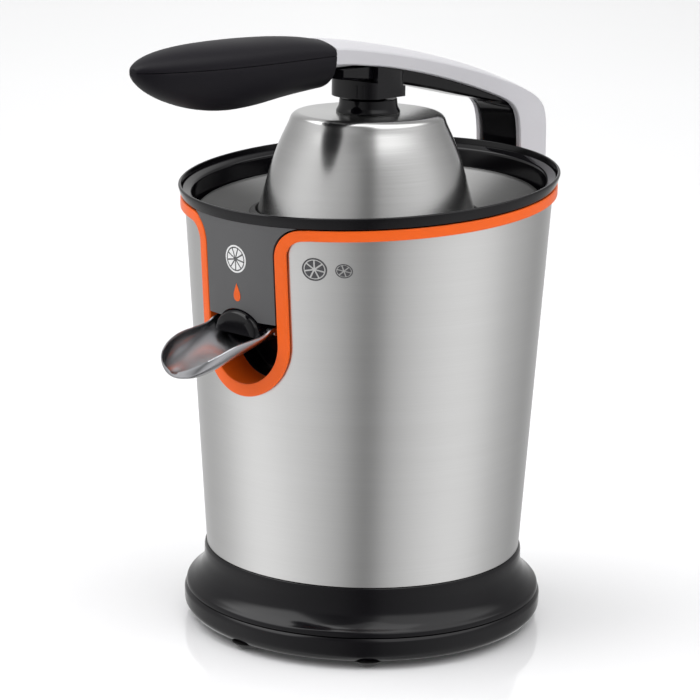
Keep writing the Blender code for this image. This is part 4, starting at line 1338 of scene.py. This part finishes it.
    def build_grip(self) -> None:
        """Two moulded halves that meet at a fine seam."""
        for name, upper in (("grip_top_half", True), ("grip_under_half", False)):
            rings = []
            for y, half, crown, belly in eased(self.grip, 3):
                base = self.seam if upper else self.seam - 0.15
                reach = crown - base if upper else belly - base
                section = [(half - 0.25, base)]
                for step in range(33):
                    angle = math.pi * step / 32
                    lift = math.sin(angle) ** 0.85 if 0 < step < 32 else 0.0
                    section.append((half * math.cos(angle), base + reach * max(lift, 0.02)))
                section.append((-half + 0.25, base))
                rings.append([Vector((x, y, z)) for x, z in section])
            bm = skin(rings)
            if not upper:
                pocket = prism([(-6.3, -118.3), (6.3, -118.3), (6.3, 0), (-6.3, 0)], "z", 268.9, 280)
                well = lathe([(0, 240), (3.6, 240), (3.6, 261), (2.0, 261), (2.0, 290), (0, 290)], 32)
                bm = carved(bm, pocket, shifted(well, (0, -90, 0)))
            node = "grip_upper" if upper else "grip_lower"
            settle(name, bm, GRIP_BLACK, Body.LEVER, (node,), sharp=50)


@dataclass
class Reamers:
    """Ribbed reaming cones."""

    large: list[Row] = field(default_factory=lambda: [
        (1.2, 222.6, 0.0), (6, 222.2, 0.0), (14, 219.6, 0.0), (30, 196, 0.0), (36.5, 188.6, 0.0),
        (40.2, 188.6, 0.0), (41, 189.4, 0.0), (40, 192.0, 0.03), (35, 202, 0.055), (30, 210, 0.06),
        (25, 217, 0.06), (18, 224, 0.055), (12, 229, 0.045), (6, 231.8, 0.02), (1.2, 232.6, 0.0)])
    ribs: int = 10

    def build(self) -> None:
        """Build and dress the reamers."""
        rings = []
        for radius, height, depth in self.large:
            ring = []
            for step in range(240):
                angle = 2 * math.pi * step / 240
                ridge = 2 * abs(math.cos(self.ribs * angle / 2)) ** 1.4 - 1
                reach = radius * (1 + depth * ridge)
                ring.append(Vector((reach * math.cos(angle), reach * math.sin(angle), height)))
            rings.append(ring)
        settle("large_ribbed_cone", skin(rings), SATIN_BLACK, Body.REAMER, ("reamer_large",), sharp=70)
        dress(SATIN_BLACK, "reamer_small")


@dataclass
class InnerWorks:
    """Motor, gears and brackets carried over from the frame."""

    dressing: tuple[tuple[Finish, tuple[str, ...]], ...] = (
        (FIXING_STEEL, ("drive_shaft", "idler_pin", "motor_pinion", "motor_rotor", "stator", "return_spring",
                        "bracket_backplate", "bracket_screw_1", "bracket_screw_2", "motor_housing")),
        (GEAR_NYLON, ("idler_gear", "output_gear", "cooling_fan", "thrust_cup")),
        (BEARING_BRONZE, ("lower_bearing", "upper_bushing")),
        (CUP_GREY, ("chassis", "gearbox_base", "gearbox_cover")),
        (SATIN_BLACK, ("hinge_bracket", "switch_body", "switch_plunger")),
        (FOOT_RUBBER, ("shaft_seal",)))

    def build(self) -> None:
        """Dress every inner node."""
        for finish, nodes in self.dressing:
            dress(finish, *nodes)


@dataclass
class Studio:
    """Pale floor, soft light all round and the camera."""

    azimuth: float = 43.0
    down: float = 13.573
    roll: float = 0.948
    place: Row = (0.80663, -0.87623, 0.41776)
    lens: float = 131.42
    bands: tuple[Point, ...] = ((-180, 0.85), (-158, 0.6), (-140, 0.48), (-113, 0.66), (-93, 0.98),
                                (-76, 1.06), (-54, 0.87), (-35, 0.70), (-16, 0.52), (-4, 0.27),
                                (3, 0.22), (8, 0.30), (15, 0.50), (34, 0.74), (54, 0.91), (68, 0.96),
                                (84, 0.90), (101, 0.64), (124, 0.47), (138, 0.36), (158, 0.5), (180, 0.85))
    boxes: tuple[Point, ...] = ((-180, 0.5), (-134, 0.5), (-124, 4.0), (-56, 4.0), (-46, 0.25), (8, 0.12),
                                (20, 2.5), (116, 2.5), (128, 0.3), (180, 0.5))

    def build(self) -> None:
        """Set up floor, world, lamp and camera."""
        self.build_floor()
        self.build_world()
        self.build_lamp()
        self.build_camera()
        bpy.context.scene.view_settings.view_transform = "Standard"

    def build_floor(self) -> None:
        """Wide, faintly glossy white floor."""
        bm = bmesh.new()
        bmesh.ops.create_grid(bm, x_segments=8, y_segments=8, size=9.0)
        floor = spare_object("floor", bm)
        made = bpy.data.materials.new("studio_floor")
        made.use_nodes = True
        sheet = Sheet(made.node_tree)
        shader = made.node_tree.nodes["Principled BSDF"]
        place = sheet.add("ShaderNodeTexCoord").outputs["Object"]
        cloud = sheet.noise(place, 3.0, 2.0)
        sheet.link(sheet.spread(cloud, 0.05, 0.08), shader.inputs["Roughness"])
        shader.inputs["Base Color"].default_value = (0.84, 0.84, 0.85, 1.0)
        shader.inputs["Specular IOR Level"].default_value = 0.8
        floor.data.materials.append(made)
        floor.visible_glossy = False

    def build_world(self) -> None:
        """Light that changes softly with direction, and plain white behind the object."""
        world = bpy.data.worlds.new("studio")
        bpy.context.scene.world = world
        world.use_nodes = True
        world.node_tree.nodes.clear()
        sheet = Sheet(world.node_tree)
        parts = sheet.add("ShaderNodeSeparateXYZ", None,
                          {0: sheet.add("ShaderNodeTexCoord").outputs["Generated"]}).outputs
        angle = sheet.maths("ARCTAN2", parts[0], sheet.maths("MULTIPLY", parts[1], -1.0))
        turn = sheet.maths("SUBTRACT", sheet.maths("DIVIDE", angle, 2 * math.pi), self.azimuth / 360 - 0.5)
        share = sheet.maths("FRACT", sheet.maths("ADD", turn, 1.0))
        ring = self.add_ramp(sheet, share, self.bands)
        boxes = self.add_ramp(sheet, share, self.boxes)
        climb = sheet.add("ShaderNodeMapRange", {"interpolation_type": "SMOOTHSTEP"},
                          {"Value": parts[2], "From Min": 0.5, "From Max": 0.72}).outputs[0]
        upper = sheet.blend(climb, ring, boxes)
        path = sheet.add("ShaderNodeLightPath")
        lift = sheet.spread(path.outputs["Is Diffuse Ray"], 1.0, 1.1)
        fill = sheet.add("ShaderNodeVectorMath", {"operation": "SCALE"}, {0: upper, "Scale": lift}).outputs[0]
        shown = sheet.blend(path.outputs["Is Camera Ray"], fill, (1.0, 1.0, 1.0, 1.0))
        light = sheet.add("ShaderNodeBackground", None, {"Color": shown, "Strength": 1.0})
        sheet.add("ShaderNodeOutputWorld", None, {0: light.outputs[0]})

    def add_ramp(self, sheet: Sheet, share: bpy.types.NodeSocket,
                 levels: tuple[Point, ...]) -> bpy.types.NodeSocket:
        """Brightness that changes round the horizon.

        Args:
            sheet: the world's nodes.
            share: direction from 0 to 1, with 0.5 towards the camera.
            levels: brightness at angles in degrees from the camera.

        Returns:
            The brightness there.
        """
        ramp = sheet.add("ShaderNodeValToRGB", None, {0: share})
        ramp.color_ramp.interpolation = "B_SPLINE"
        stops = ramp.color_ramp.elements
        peak = max(level for _, level in levels)
        while len(stops) < len(levels):
            stops.new(0.5)
        for stop, (degrees, level) in zip(stops, levels):
            stop.position = degrees / 360 + 0.5
            stop.color = (*(3 * (level / peak,)), 1.0)
        return sheet.add("ShaderNodeVectorMath", {"operation": "SCALE"},
                         {0: ramp.outputs[0], "Scale": peak}).outputs[0]

    def build_lamp(self) -> None:
        """Large soft box overhead."""
        light = bpy.data.lights.new("soft_box", "AREA")
        light.shape = "RECTANGLE"
        light.size = 1.1
        light.size_y = 0.8
        light.energy = 3.0
        lamp = bpy.data.objects.new("soft_box", light)
        lamp.location = (0.15, -0.1, 1.5)
        bpy.context.scene.collection.objects.link(lamp)

    def build_camera(self) -> None:
        """Camera at the front right, looking slightly down."""
        lens = bpy.data.cameras.new("camera")
        lens.lens = self.lens
        lens.sensor_width = 36.0
        camera = bpy.data.objects.new("camera", lens)
        turn = (Matrix.Rotation(math.radians(self.azimuth), 4, "Z")
                @ Matrix.Rotation(math.radians(90 - self.down), 4, "X")
                @ Matrix.Rotation(math.radians(self.roll), 4, "Z"))
        camera.matrix_world = Matrix.Translation(Vector(self.place) + press_axis()) @ turn
        bpy.context.scene.collection.objects.link(camera)
        bpy.context.scene.camera = camera


def corners(bounds: object) -> list[float]:
    """A box as a plain list of numbers.

    Args:
        bounds: the lowest and highest corner.

    Returns:
        Its numbers in order.
    """
    numbers: list[float] = []
    for corner in bounds:
        numbers.extend(float(value) for value in corner)
    return numbers


def main() -> None:
    """Build the sub-assemblies in order."""
    logging.basicConfig(level=logging.INFO, format="%(name)s %(message)s", stream=sys.stdout)
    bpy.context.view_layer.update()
    for assembly in (Studio(), Base(), Housing(), JuicePath(), PressHead(), Lever(), Reamers(), InnerWorks()):
        assembly.build()


if __name__ == "__main__":
    main()
